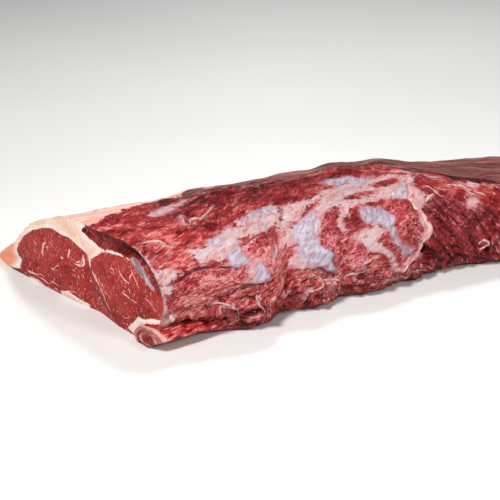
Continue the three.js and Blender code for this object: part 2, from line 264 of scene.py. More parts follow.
    def side(self, x0: Array, girth: Array) -> Array:
        """Gives the side with its lumps and crease.

        Args:
            x0: Places on the length scale.
            girth: Distances round the middle section from the front foot.

        Returns:
            Points in millimetres, in the last axis.
        """
        x0, girth = np.broadcast_arrays(np.asarray(x0, float), np.asarray(girth, float))
        t = self.share_at(girth)
        point = self.bare(x0, t)
        ahead, behind = self.bare(x0, t + 0.004), self.bare(x0, t - 0.004)
        out = np.stack([0 * x0, behind[..., 2] - ahead[..., 2], ahead[..., 1] - behind[..., 1]], -1)
        out /= np.linalg.norm(out, axis=-1, keepdims=True)
        relief = sum(lump.at(x0, girth) for lump in self.lumps)
        relief = relief + sum(h * np.sin(a * x0 + b * girth + phase) for a, b, phase, h in self.waves)
        point = point + out * (relief * smooth(0, 16, point[..., 2]))[..., None]
        point[..., 2] += self.crease_at(point) * smooth(12, 30, point[..., 2])
        point[..., 2] = np.maximum(point[..., 2], 0)
        return point


def uneven(x: Array, y: Array, seed: int) -> Array:
    """Smooth seeded noise with features one unit across.

    Args:
        x: Places on the first scale.
        y: Places on the second scale.
        seed: The pattern's seed.

    Returns:
        Noise from -1 to 1.
    """
    size = 128
    heights = np.random.default_rng(seed).uniform(-1, 1, (size, size))
    i, j = np.floor(x).astype(int), np.floor(y).astype(int)
    fx, fy = smooth(0, 1, x - i), smooth(0, 1, y - j)
    a, b = heights[i % size, j % size], heights[(i + 1) % size, j % size]
    c, d = heights[i % size, (j + 1) % size], heights[(i + 1) % size, (j + 1) % size]
    return (a * (1 - fx) + b * fx) * (1 - fy) + (c * (1 - fx) + d * fx) * fy


def along_fibres(x: Array, y: Array, turn: float, length: float, width: float, seed: int) -> Array:
    """Noise drawn out along fibres.

    Args:
        x: Places on the first scale, in millimetres.
        y: Places on the second scale, in millimetres.
        turn: The fibres' direction, in degrees.
        length: The features' length along the fibres.
        width: The features' width across them.
        seed: The pattern's seed.

    Returns:
        Noise from -1 to 1.
    """
    a = math.radians(turn)
    along, across = x * math.cos(a) + y * math.sin(a), y * math.cos(a) - x * math.sin(a)
    return uneven(along / length, across / width, seed)


class Tissue(Enum):
    """What a patch or a streak of the surface is made of, or the painted shade that it carries."""

    FAT = "fat"
    SILVER = "silver skin"
    WISP = "pale fibres"
    CAP = "fat cap"
    DRIED = "dried surface"
    # painted shade: the dark colour put in clefts, creases, hollows and under overhanging edges
    DARK = "painted_cleft_shade"
    FRESH = "bright flesh"
    GRAIN = "scraped flesh"
    # deep red flesh, darkened further by painted shade along the foot, in hollows and in the cut's recessed
    # strip
    DEEP_AND_SHADE = "deep red flesh"
    BARE = "flesh that shows through fat"


def path_distance(x: Array, y: Array, path: Sequence[Key], is_closed: bool, half_width: float = 0) -> Array:
    """The distance from a path, less the path's own half width, which thins out towards its ends.

    Args:
        x: Places on the first scale.
        y: Places on the second scale.
        path: The path's points.
        is_closed: Whether the path runs back to its first point.
        half_width: The half width halfway along an open path.

    Returns:
        The distance at each place.
    """
    points = list(path) + ([path[0]] if is_closed else [])
    lengths = [math.dist(a, b) for a, b in zip(points, points[1:])]
    done = 0.0
    best = np.full(np.shape(x), np.inf)
    for (ax, ay), (bx, by), length in zip(points, points[1:], lengths):
        t = np.clip(((x - ax) * (bx - ax) + (y - ay) * (by - ay)) / length**2, 0, 1)
        share = (done + t * length) / sum(lengths)
        width = half_width * (1 - 0.7 * np.abs(2 * share - 1) ** 3)
        best = np.minimum(best, np.hypot(x - ax - t * (bx - ax), y - ay - t * (by - ay)) - width)
        done += length
    return best


def is_inside(x: Array, y: Array, outline: Sequence[Key]) -> Array:
    """Whether places lie inside an outline."""
    inside = np.zeros(np.shape(x), bool)
    for (ax, ay), (bx, by) in zip(outline, list(outline[1:]) + [outline[0]]):
        if ay != by:
            crosses = (ay > y) != (by > y)
            inside ^= crosses & (x < ax + (y - ay) / (by - ay) * (bx - ax))
    return inside


@dataclass(frozen=True)
class Patch:
    """A patch of one tissue inside an outline in millimetres."""

    tissue: Tissue
    outline: tuple[Key, ...]

    def depth_at(self, x: Array, y: Array) -> Array:
        """How far places lie inside the patch, in millimetres, and under 0 outside it."""
        away = path_distance(x, y, self.outline, True)
        return np.where(is_inside(x, y, self.outline), away, -away)


@dataclass(frozen=True)
class Streak:
    """A streak of one tissue along a path in millimetres, and how far it stands out, or lies under 0."""

    tissue: Tissue
    half_width: float
    path: tuple[Key, ...]
    stand: float = 0

    def depth_at(self, x: Array, y: Array) -> Array:
        """How far places lie inside the streak, in millimetres, and under 0 outside it."""
        return -path_distance(x, y, self.path, False, self.half_width)

    def relief_at(self, x: Array, y: Array) -> Array:
        """How far the surface stands out along the streak, in millimetres."""
        return self.stand * smooth(-0.5 * self.half_width, self.half_width, self.depth_at(x, y))


@dataclass(frozen=True)
class TissueMap:
    """The tissues of one surface, as patches and streaks on its two scales."""

    marks: tuple[Patch | Streak, ...]

    def depth(self, tissue: Tissue, x: Array, y: Array) -> Array:
        """How deep places lie inside a tissue.

        Args:
            tissue: The tissue asked for.
            x: Places on the first scale.
            y: Places on the second scale.

        Returns:
            Millimetres inside the tissue, under 0 outside it.
        """
        depth = np.full(np.shape(x), -FAR_OFF)
        for mark in self.marks:
            if mark.tissue is tissue:
                depth = np.maximum(depth, mark.depth_at(x, y))
        return np.minimum(depth, FAR_OFF)

    def relief(self, x: Array, y: Array) -> Array:
        """How far streaks make the surface stand out, in millimetres."""
        streaks = [mark for mark in self.marks if isinstance(mark, Streak) and mark.stand]
        return sum((streak.relief_at(x, y) for streak in streaks), np.zeros(np.shape(x)))


SIDE_MAP = TissueMap((
    # the great membrane over the first rib bed
    Patch(Tissue.FAT, (
        (-22, 137), (-12, 132), (7, 135), (18, 140), (22, 138), (20, 129), (14, 117), (1, 106), (-14, 103),
        (-30, 112), (-40, 111), (-46, 103), (-48, 91), (-44, 84), (-60, 86), (-58, 92), (-68, 90), (-70, 97),
        (-76, 91), (-82, 90), (-84, 100), (-86, 108), (-72, 106), (-62, 114), (-44, 124), (-35, 130),
        (-27, 129), (-15, 120), (-24, 133))),
    Patch(Tissue.SILVER, (
        (-22, 137), (-12, 132), (7, 135), (18, 140), (22, 138), (20, 130), (10, 124), (-8, 125), (-19, 132))),
    Patch(Tissue.SILVER, ((-68, 110), (-57, 117), (-50, 118), (-54, 111), (-60, 105))),
    Patch(Tissue.SILVER, ((-60, 94), (-50, 99), (-46, 98), (-47, 91), (-44, 84), (-58, 85))),
    Streak(Tissue.BARE, 0.9, ((-50, 135), (-38, 134), (-24, 131), (-12, 118)), -0.8),
    # the small membrane under it
    Patch(Tissue.FAT, ((-46, 80), (-36, 79), (-34, 72), (-32, 67), (-40, 64), (-54, 68), (-45, 71),
        (-46, 76))),
    Patch(Tissue.SILVER, ((-40, 79), (-36, 79), (-34, 72), (-32, 67), (-42, 65), (-47, 68), (-40, 72))),
    # the membranes over the second rib bed
    Patch(Tissue.FAT, (
        (29, 138), (40, 137), (57, 134), (70, 142), (82, 152), (101, 158), (96, 150), (83, 143), (68, 134),
        (52, 128), (42, 124), (34, 119), (23, 112), (12, 104), (7, 96), (4, 100), (10, 112), (17, 122))),
    Patch(Tissue.FAT, ( (96, 150), (82, 128), (66, 123), (58, 112), (46, 103), (38, 94), (30, 85),
        (32, 78), (40, 70), (38, 63), (22, 60), (2, 62), (0, 68), (12, 74), (10, 78), (16, 84), (8, 84),
        (-14, 78), (-22, 83), (-6, 83), (4, 94), (16, 102), (30, 111), (44, 119), (62, 124),
        (82, 140))),
    Patch(Tissue.SILVER, ( (20, 104), (32, 111), (45, 116), (44, 104), (34, 93), (28, 82), (34, 75),
        (41, 68), (36, 63), (22, 61), (11, 66), (12, 76), (18, 86), (13, 88), (15, 96))),
    Streak(Tissue.BARE, 1.6, ((48, 126), (40, 121), (32, 116), (25, 113)), -1.0),
    # the broad fat over the third rib bed, and the flesh that shows through it
    Patch(Tissue.FAT, ( (76, 150), (93, 156), (106, 161), (123, 160), (138, 154), (154, 146),
        (174, 143), (172, 134), (156, 119), (143, 104), (134, 112), (122, 118), (94, 117), (82, 110),
        (75, 102), (66, 98), (62, 84), (59, 86), (60, 94), (73, 108), (76, 116), (63, 112), (46, 104),
        (66, 130))),
    Patch(Tissue.SILVER, ((88, 168), (100, 178), (116, 174), (128, 164), (140, 157), (120, 157), (98, 164))),
    Patch(Tissue.SILVER, ((142, 122), (156, 128), (164, 124), (150, 112), (144, 106), (138, 112))),
    Patch(Tissue.BARE, ((78, 121), (89, 132), (104, 134), (118, 134), (132, 130), (124, 126), (88, 122))),
    Patch(Tissue.BARE, ((124, 140), (136, 146), (151, 144), (162, 140), (156, 132), (147, 132), (127, 134))),
    Streak(Tissue.BARE, 1.3, ((80, 156), (90, 154), (102, 158)), -0.6),
    Patch(Tissue.SILVER, (
        (92, 108), (102, 110), (114, 104), (117, 90), (112, 82), (113, 76), (110, 71), (120, 60), (129, 54),
        (128, 49), (120, 53), (108, 67), (104, 75), (107, 81), (99, 89), (87, 94), (87, 101))),
    Patch(Tissue.FAT, ( (67, 78), (84, 84), (97, 88), (101, 82), (94, 76), (90, 71), (98, 63),
        (104, 55), (107, 46), (112, 40), (113, 36), (104, 42), (101, 53), (93, 60), (82, 63),
        (74, 73))),
    # the cord of fat over the far muscles, and its branch
    Streak(Tissue.FAT, 2.5, (
        (171, 138), (157, 119), (148, 106), (144, 93), (146, 82), (149, 73), (149, 66), (143, 60), (140, 53),
        (135, 48), (123, 44), (114, 37)), 1.2),
    Streak(Tissue.FAT, 0.5, ((151, 92), (164, 100), (174, 104)), 0.6),
    Patch(Tissue.FAT, ((148, 92), (147, 104), (153, 114), (159, 112), (162, 103), (156, 94))),
    Patch(Tissue.WISP, ( (172, 122), (180, 116), (196, 110), (210, 108), (226, 106), (236, 110),
        (234, 122), (216, 124), (196, 126))),
    Patch(Tissue.FAT, ((220, 119), (229, 121), (235, 117), (232, 110), (225, 108), (220, 113))),
    Patch(Tissue.WISP, ((198, 80), (202, 92), (210, 98), (219, 94), (217, 84), (206, 76))),
    Patch(Tissue.FAT, ((202, 83), (206, 91), (212, 93), (214, 88), (208, 82))),
    Streak(Tissue.WISP, 1.8, ((212, 76), (217, 71), (222, 70)), 0.8),
    Streak(Tissue.WISP, 1.8, ((202, 66), (205, 63)), 0.8),
    Streak(Tissue.WISP, 1.4, ((206, 47), (211, 46), (216, 46), (214, 40), (210, 34), (207, 38)), 0.8),
    Streak(Tissue.WISP, 5.5, ((232, 66), (228, 56), (226, 44), (230, 32), (242, 14)), 1.0),
    Streak(Tissue.DARK, 1.8, ((218, 52), (216, 40), (220, 28)), -1.6),
    # creases between the far muscles' bundles, grooved into the relief and darkened with painted shade
    Streak(Tissue.DARK, 1.3, ((155, 92), (160, 84), (166, 74), (172, 65), (180, 54), (188, 38)), -2.2),
    Streak(Tissue.DARK, 0.9, ((164, 93), (170, 82), (178, 74), (185, 66)), -2.0),
    Streak(Tissue.DARK, 1.0, ((176, 92), (182, 82), (190, 76), (197, 67)), -2.0),
    Streak(Tissue.DARK, 0.8, ((185, 96), (190, 88), (196, 80)), -1.8),
    Streak(Tissue.DARK, 0.8, ((176, 104), (180, 91), (183, 86)), -1.8),
    Streak(Tissue.DARK, 1.2, ((152, 66), (160, 56), (169, 44), (180, 30)), -2.6),
    Streak(Tissue.DARK, 1.2, ((192, 62), (198, 50), (205, 37), (209, 28)), -2.2),
    Streak(Tissue.DARK, 1.0, ((216, 86), (221, 76), (228, 68)), -1.6),
    Streak(Tissue.DARK, 1.0, ((200, 78), (206, 66), (216, 52)), -1.6),
    # the edge of the fat cap, the dried back lobe, the pale line along its crease, and painted shade lines
    # under the lobe's edge and along the cap's edge
    Patch(Tissue.CAP, ( (-140, 180), (-124, 181), (-110, 187), (-102, 191), (-85, 199), (-71, 206),
        (-54, 213), (-40, 217), (-24, 216), (-4, 213), (22, 214), (60, 222), (110, 232), (180, 240),
        (260, 236), (400, 222), (400, 590), (-140, 590))),
    Patch(Tissue.DRIED, ( (-30, 219), (10, 211), (50, 211), (100, 208), (138, 203), (152, 184),
        (166, 168), (174, 157), (188, 151), (197, 136), (217, 127), (236, 119), (256, 113), (300, 104),
        (400, 94), (400, 300), (120, 290), (40, 250))),
    Streak(Tissue.DARK, 3.0, ((150, 188), (173, 174), (184, 170), (190, 163), (194, 152), (197, 142),
        (204, 135), (213, 131), (224, 129), (232, 125), (238, 118), (254, 110), (300, 96))),
    Streak(Tissue.FAT, 1.5, ((140, 180), (154, 166), (162, 158), (170, 152), (177, 147), (184, 140),
        (190, 133), (199, 127)), 0.8),
    Streak(Tissue.WISP, 2.0, ((199, 127), (217, 123), (232, 116), (250, 103), (300, 88)), 0.8),
    Streak(Tissue.WISP, 2.2, ((-20, 211), (10, 206), (44, 205), (80, 203), (112, 200))),
    Streak(Tissue.DARK, 1.3, ((-72, 205), (-36, 214), (-7, 211), (30, 212), (70, 213))),
    # the leaf of silver skin, and pale streaks of the upper side
    Patch(Tissue.FAT, (
        (-75, 180), (-63, 187), (-53, 192), (-44, 194), (-32, 198), (-40, 192), (-48, 188), (-60, 180),
        (-70, 177))),
    Streak(Tissue.WISP, 1.2, ((-34, 198), (-14, 202), (6, 206))),
    Streak(Tissue.FAT, 0.1, ((-48, 151), (-37, 158), (-28, 165), (-22, 171)), 0.7),
    Streak(Tissue.FAT, 0.1, ((-62, 145), (-56, 153), (-50, 154), (-48, 150)), 0.7),
    Streak(Tissue.FAT, 0.1, ((-55, 169), (-61, 157), (-66, 147)), 0.6),
    Streak(Tissue.WISP, 1.4, ((-93, 166), (-82, 173))),
    Streak(Tissue.WISP, 2.0, ((12, 196), (26, 200), (40, 196))),
    Streak(Tissue.WISP, 1.6, ((-8, 152), (-2, 160), (4, 166))),
    Streak(Tissue.FAT, 0.1, ((-115, 126), (-108, 126), (-102, 124), (-99, 117)), 0.8),
    # fat at the near cut's edge
    Patch(Tissue.FAT, ((-123, 91), (-114, 90), (-102, 87), (-108, 83), (-118, 80), (-124, 80))),
    Patch(Tissue.FAT, ((-124, 80), (-116, 80), (-113, 75), (-117, 71), (-124, 71))),
    Streak(Tissue.FAT, 0.3, ((-124, 126), (-123.5, 116), (-123, 106), (-122.5, 95), (-123, 84)), 0.4),
    Streak(Tissue.FAT, 0.8, ((-124, 74), (-123, 60), (-122, 46), (-119, 38)), 0.5),
    Streak(Tissue.FAT, 2.4, ((-116, 48), (-112, 41)), 1.0),
    # lower strands, tags and frills
    Streak(Tissue.FAT, 0.3, ((24, 47), (36, 45), (52, 41), (65, 42), (78, 46)), 0.8),
    Streak(Tissue.FAT, 1.0, ((72, 51), (80, 55), (89, 57)), 0.6),
    Patch(Tissue.SILVER, ((30, 59), (38, 61), (47, 52), (42, 50), (32, 55))),
    Streak(Tissue.FAT, 1.2, ((99, 22), (104, 27), (108, 29)), 0.6),
    Streak(Tissue.FAT, 0.3, ((-99, 35), (-91, 40), (-84, 46), (-76, 50), (-66, 48), (-61, 41)), 0.8),
    Streak(Tissue.FAT, 0.3, ((-42, 52), (-43, 44), (-38, 35)), 0.9),
    Streak(Tissue.FAT, 0.3, ((16, 54), (24, 48), (26, 43), (20, 38), (12, 36), (12, 29)), 0.8),
    Streak(Tissue.WISP, 3.5, ((-66, 50), (-56, 57), (-42, 61))),
    Streak(Tissue.WISP, 3.0, ((-4, 38), (14, 36), (32, 31), (54, 27))),
    Streak(Tissue.WISP, 3.0, ((28, 22), (52, 24), (74, 26))),
    Streak(Tissue.FAT, 0.3, ((110, 22), (126, 26), (146, 26), (168, 21)), 0.6),
    # clefts and hollows, grooved and darkened with painted shade, with pale fibres among them
    Streak(Tissue.DARK, 0.8, ((-118, 78), (-108, 80), (-99, 83), (-90, 86), (-78, 87), (-66, 85),
        (-54, 81)), -1.4),
    Streak(Tissue.DARK, 0.6, ((-44, 99), (-38, 102), (-31, 105), (-19, 105)), -1.2),
    Streak(Tissue.DARK, 1.4, ((16, 57), (26, 59), (32, 54), (48, 46)), -2.2),
    Streak(Tissue.DARK, 1.0, ((-64, 63), (-54, 66), (-46, 64), (-36, 62), (-24, 65)), -1.8),
    Streak(Tissue.DARK, 2.6, ((141, 60), (150, 50), (161, 39), (174, 27)), -3.4),
    Streak(Tissue.DARK, 0.6, ((22, 141), (24, 130), (14, 114), (6, 102)), -1.0),
    Streak(Tissue.DARK, 2.5, ((-56, 25), (-48, 31), (-41, 33)), -2.5),
    Streak(Tissue.DARK, 2.0, ((-26, 48), (-25, 36), (-22, 26)), -3.0),
    # painted shadow in the hollow at the side's near edge, beside the cut's strip
    Patch(Tissue.DEEP_AND_SHADE, ((-122, 120), (-115, 122), (-110, 114), (-111, 104), (-118, 99), (-123, 108))),
    Streak(Tissue.DARK, 2.2, ((-86, 20), (-78, 23), (-69, 27), (-57, 27), (-49, 34), (-40, 39)), -3.0),
    Streak(Tissue.DARK, 1.2, ((-66, 53), (-54, 54), (-44, 49)), -2.0),
    Streak(Tissue.WISP, 2.6, ((-82, 49), (-74, 51), (-66, 47), (-62, 38)), 1.6),
    Patch(Tissue.WISP, ((-114, 44), (-104, 49), (-96, 46), (-96, 36), (-106, 30))),
    Patch(Tissue.WISP, ((-92, 54), (-77, 54), (-64, 44), (-66, 34), (-78, 32), (-90, 43))),
    Streak(Tissue.WISP, 2.0, ((-100, 51), (-92, 54), (-82, 56)), 1.0),
    Streak(Tissue.WISP, 2.2, ((-60, 60), (-54, 64), (-45, 64)), 1.0),
    Streak(Tissue.WISP, 2.2, ((-21, 46), (-1, 40), (10, 44), (20, 47)), 1.0),
    Streak(Tissue.WISP, 2.0, ((-72, 15), (-61, 18), (-49, 22), (-42, 30)), 1.2),
    # the flesh: bright near the cut, scraped between the beds, deep red along the top and far away; the deep
    # patches also carry painted shade, most along the foot
    Patch(Tissue.FRESH, (
        (-130, 178), (-104, 174), (-88, 158), (-66, 148), (-70, 117), (-86, 108), (-92, 90), (-130, 92))),
    Patch(Tissue.FRESH, ((-130, 66), (-100, 52), (-60, 56), (-22, 62), (-20, 10), (-130, 0))),
    Patch(Tissue.GRAIN, ((-106, 86), (-84, 84), (-50, 84), (-20, 96), (2, 88), (-14, 74), (-50, 72),
        (-90, 72))),
    Patch(Tissue.GRAIN, ((-44, 106), (-22, 108), (-4, 100), (4, 95), (2, 86), (-22, 82), (-38, 88),
        (-47, 96))),
    Patch(Tissue.GRAIN, ((44, 104), (64, 114), (78, 112), (64, 98), (72, 76), (96, 56), (70, 44),
        (40, 60), (32, 84))),
    Patch(Tissue.GRAIN, ((120, 104), (144, 100), (142, 62), (128, 60), (118, 76))),
    Patch(Tissue.GRAIN, ((160, 110), (196, 98), (214, 78), (190, 60), (160, 76), (154, 92))),
    Patch(Tissue.WISP, ((-118, 28), (-100, 34), (-84, 42), (-84, 58), (-100, 62), (-120, 54))),
    Patch(Tissue.DEEP_AND_SHADE, (
        (156, 112), (174, 116), (196, 98), (226, 92), (250, 84), (244, 30), (200, 10), (160, 24), (150, 60),
        (152, 90))),
    Patch(Tissue.WISP, ((-112, 132), (-91, 124), (-80, 112), (-84, 100), (-94, 89), (-120, 92), (-112, 112))),
    Patch(Tissue.WISP, (
        (-118, 44), (-114, 62), (-90, 74), (-62, 78), (-40, 74), (-16, 76), (-10, 60), (-24, 46), (-52, 40),
        (-90, 34))),
    Patch(Tissue.WISP, ((0, 62), (24, 58), (52, 50), (84, 52), (108, 34), (84, 26), (40, 30), (8, 36))),
    Patch(Tissue.WISP, ((-74, 84), (-40, 92), (-8, 92), (4, 82), (-30, 78))),
    Patch(Tissue.DEEP_AND_SHADE, (
        (-66, 176), (-30, 200), (20, 204), (60, 202), (104, 196), (100, 182), (84, 166), (55, 146), (26, 142),
        (8, 150), (-12, 160), (-36, 170))),
    Patch(Tissue.DEEP_AND_SHADE, ((-60, 203), (-30, 212), (20, 210), (-6, 205), (-34, 204))),
    Patch(Tissue.DEEP_AND_SHADE, ((98, 190), (136, 186), (154, 166), (150, 156), (138, 164), (119, 178))),
    Patch(Tissue.DEEP_AND_SHADE, ((65, 94), (74, 104), (88, 113), (84, 102), (80, 94), (92, 89), (76, 84), (66, 86))),
    Patch(Tissue.DEEP_AND_SHADE, ((152, 66), (176, 82), (200, 60), (196, 30), (160, 30))),
    Patch(Tissue.DEEP_AND_SHADE, ((-40, 36), (20, 40), (100, 34), (160, 40), (240, 20), (240, 0), (-60, 0))),
))

CUT_MAP = TissueMap((
    # fat over the eye of the rib, wedged between the muscles, and thinning along the strip
    Patch(Tissue.FAT, ( (190, 30), (185, 37), (170, 49), (161, 54), (149, 60), (132, 65), (116, 64),
        (105, 65), (92, 61), (87, 59), (81, 57), (78, 52), (75, 44), (74, 50), (74, 55), (65, 62),
        (58, 68), (45, 71), (33, 73.5), (18, 74), (34, 75.5), (46, 73.5), (57, 71), (68, 73), (77, 75),
        (86, 78), (82, 86), (76, 96), (120, 115), (215, 70), (200, 28))),
    Streak(Tissue.FAT, 0.7, ((78, 54), (75, 46), (70, 40), (62, 33))),
    Patch(Tissue.FAT, ( (240, 0), (222, 12), (208, 24), (196, 32), (190, 31), (192, 20), (186, 11),
        (184, 7), (187, 5), (203, 0), (212, -3), (240, -5))),
    Patch(Tissue.FRESH, ((203, 27), (194, 25), (193, 16), (199, 17))),
    # silver skin along the strip's lower half
    Patch(Tissue.SILVER, (
        (20, 76), (16, 70), (11, 66), (6, 63), (0, 62), (-4, 59), (-9, 55), (-10, 58), (-9, 60), (-6, 64),
        (-1, 67), (1, 71), (5, 76), (9, 79), (15, 79))),
    # fat over the rolled muscle, and lumps of the cap under the eye
    Patch(Tissue.FAT, (
        (12, 24), (6, 23), (-7, 28), (-19, 32), (-26, 32), (-21, 29), (-7, 23), (4, 19), (5, 17), (16, 9),
        (21, 1), (29, 4), (22, 12), (15, 19))),
    Patch(Tissue.FAT, ((172, 2), (164, 4), (152, 3), (148, -4), (174, -4))),
    Patch(Tissue.FAT, ((124, 5), (112, 9), (100, 7), (86, 3), (86, -4), (124, -4))),
    # painted shadow along the foot of the cut, under the tail
    Patch(Tissue.DARK, ((215, -3), (201, -2), (188, -5), (176, -3), (181, 2), (186, 4), (200, 1))),
    # the strip that has shrunk back; its darker red is partly its own colour and partly painted shade of its
    # recess
    Patch(Tissue.DEEP_AND_SHADE, ( (88, 79), (82, 88), (74, 100), (0, 106), (-36, 84), (-26, 54), (-16, 54),
        (-11, 58), (-9, 60), (-6, 64), (-1, 67), (1, 71), (5, 76), (9, 79), (15, 78), (19, 76),
        (30, 76), (38, 75), (48, 73), (56, 72), (62, 72), (69, 74), (76, 76))),
    # the rolled muscle lies in front of this part
    Patch(Tissue.FRESH, ((-20, 30), (-6, 24), (6, 18), (20, 2), (-40, -4), (-30, 20))),
))


class Graph:
    """A material and the node graph that paints it."""

    def __init__(self, name: str) -> None:
        """Starts an empty material with a name."""
        self.material = bpy.data.materials.new(name)
        self.material.use_nodes = True
        self.tree = self.material.node_tree
        self.tree.nodes.clear()

    def feed(self, socket: Socket, value: Value | Colour) -> None:
        """Puts a number, a colour or another node's output into a socket."""
        if isinstance(value, bpy.types.NodeSocket):
            self.tree.links.new(value, socket)
        elif isinstance(value, tuple) and socket.type == "RGBA":
            socket.default_value = (*value, 1)
        else:
            socket.default_value = value

    def node(self, kind: str, feeds: dict[int | str, Value | Colour], **settings: object) -> bpy.types.Node:
        """Adds a node.

        Args:
            kind: The node's type.
            feeds: What goes into its inputs, by name or number.
            settings: Its other settings.

        Returns:
            The new node.
        """
        node = self.tree.nodes.new(kind)
        for name, setting in settings.items():
            setattr(node, name, setting)
        for key, value in feeds.items():
            self.feed(node.inputs[key], value)
        return node

    def maths(self, operation: str, *values: Value) -> Socket:
        """The result of a Math node."""
        return self.node("ShaderNodeMath", dict(enumerate(values)), operation=operation).outputs[0]

    def add(self, *values: Value) -> Socket:
        """The sum of values."""
        total = values[0]
        for value in values[1:]:
            total = self.maths("ADD", total, value)
        return total

    def times(self, *values: Value) -> Socket:
        """The product of values."""
        product = values[0]
        for value in values[1:]:
            product = self.maths("MULTIPLY", product, value)
        return product

    def blend(self, *terms: tuple[Value, ...]) -> Socket:
        """The sum of some products."""
        return self.add(*(self.times(*term) for term in terms))

    def step(self, value: Value, low: float, high: float) -> Socket:
        """A smooth step, 0 where a value is low and 1 where it is high."""
        feeds = {"Value": value, "From Min": min(low, high), "From Max": max(low, high)}
        ends = {"To Min": 0.0, "To Max": 1.0} if low < high else {"To Min": 1.0, "To Max": 0.0}
        return self.node("ShaderNodeMapRange", feeds | ends, interpolation_type="SMOOTHSTEP").outputs[0]

    def mix(self, share: Value, first: Colour, second: Colour, how: str = "MIX") -> Socket:
        """A mix of two colours."""
        feeds = {0: share, 6: first, 7: second}
        return self.node("ShaderNodeMix", feeds, data_type="RGBA", blend_type=how).outputs[2]

    def field(self, name: str) -> Socket:
        """The vector that a mesh attribute holds."""
        return self.node("ShaderNodeAttribute", {}, attribute_name=name).outputs["Vector"]

    def parts(self, vector: Socket) -> list[Socket]:
        """A vector's three numbers."""
        return list(self.node("ShaderNodeSeparateXYZ", {0: vector}).outputs)

    def grain(self, place: Socket, along: float, across: float, turn: float, seed: float,
              detail: float = 2, warp: float = 0) -> Socket:
        """Noise drawn out in one direction.

        Args:
            place: Where the pattern is read.
            along: The features' length.
            across: The features' width.
            turn: The direction, in degrees.
            seed: A number that tells patterns apart.
            detail: How much finer noise is added.
            warp: How much the pattern is distorted.

        Returns:
            Noise around 0, mostly from -1 to 1.
        """
        feeds = {"Vector": place, "Location": (0, 0, 7.3 * seed), "Rotation": (0, 0, math.radians(turn)),
                 "Scale": (along, across, 1)}
        vector = self.node("ShaderNodeMapping", feeds, vector_type="TEXTURE").outputs[0]
        feeds = {"Vector": vector, "Scale": 1.0, "Detail": detail, "Distortion": warp}
        noise = self.node("ShaderNodeTexNoise", feeds).outputs[0]
        return self.maths("MULTIPLY_ADD", noise, 6.0, -3.0)

    def lines(self, noise: Socket, half_width: float) -> Socket:
        """Thin lines where noise passes its middle."""
        return self.step(self.maths("ABSOLUTE", noise), half_width, 0)

    def rest(self, share: Value) -> Socket:
        """What a share leaves of one."""
        return self.maths("SUBTRACT", 1.0, share)

    def most(self, *values: Value) -> Socket:
        """The highest of values."""
        best = values[0]
        for value in values[1:]:
            best = self.maths("MAXIMUM", best, value)
        return best

    def dress(self, colour: Socket, roughness: Value, height: Value, coat: float = 0.26
              ) -> bpy.types.Material:
        """Finishes the material.

        Args:
            colour: The surface's colour.
            roughness: Its roughness.
            height: Its fine relief, in millimetres.
            coat: How wet it looks.

        Returns:
            The material.
        """
        bump = self.node("ShaderNodeBump", {"Height": height, "Distance": MM, "Strength": 1.0}).outputs[0]
        feeds = {"Base Color": colour, "Roughness": roughness, "Normal": bump, "Coat Weight": coat,
                 "Coat Roughness": 0.14, "Coat Normal": bump, "Specular IOR Level": 0.08}
        surface = self.node("ShaderNodeBsdfPrincipled", feeds).outputs[0]
        self.node("ShaderNodeOutputMaterial", {0: surface})
        return self.material


def paint(red: int, green: int, blue: int) -> Rgb:
    """A colour from its display values, from 0 to 255."""
    def linear(value: int) -> float:
        share = value / 255
        return share / 12.92 if share < 0.04045 else ((share + 0.055) / 1.055) ** 2.4
    return linear(red), linear(green), linear(blue)


@dataclass(frozen=True)
class Flesh:
    """Lean flesh: its colours from deep to bright, and its pale specks."""

    deep: Colour
    middle: Colour
    bright: Colour
    speck: Colour

    def towards(self, graph: Graph, other: "Flesh", share: Value) -> "Flesh":
        """Mixes two kinds of flesh.

        Args:
            graph: The material's graph.
            other: The other flesh.
            share: How much of the other shows.

        Returns:
            The mixed flesh.
        """
        pairs = ((self.deep, other.deep), (self.middle, other.middle), (self.bright, other.bright),
                 (self.speck, other.speck))
        return Flesh(*(graph.mix(share, own, new) for own, new in pairs))

    def colour(self, graph: Graph, tone: Socket, shine: Socket, specks: Value) -> Socket:
        """The flesh's colour.

        Args:
            graph: The material's graph.
            tone: Noise around 0 that is low in deep flesh.
            shine: Noise around 0 that is high in bright flesh.
            specks: Where pale specks show.

        Returns:
            The colour.
        """
        dark = graph.mix(graph.step(tone, -1.1, 0.1), self.deep, self.middle)
        full = graph.mix(graph.step(shine, 0.0, 1.3), dark, self.bright)
        return graph.mix(specks, full, self.speck)


@dataclass(frozen=True)
class Fat:
    """Fat or membrane: its pale colour, its warm one, its pink one and its veins."""

    pale: Rgb
    warm: Rgb
    pink: Rgb
    vein: Rgb

    def colour(self, graph: Graph, clouds: Socket, blush: Socket, veins: Socket) -> Socket:
        """The fat's colour.

        Args:
            graph: The material's graph.
            clouds: Noise that is high where the fat is warm.
            blush: Noise that is high where the fat is pink.
            veins: Where its veins run.

        Returns:
            The colour.
        """
        ground = graph.mix(graph.step(clouds, -0.5, 0.9), self.pale, self.warm)
        ground = graph.mix(graph.step(blush, 0.0, 1.3), ground, self.pink)
        return graph.mix(graph.times(veins, graph.step(clouds, -0.4, 0.8), 0.4), ground, self.vein)


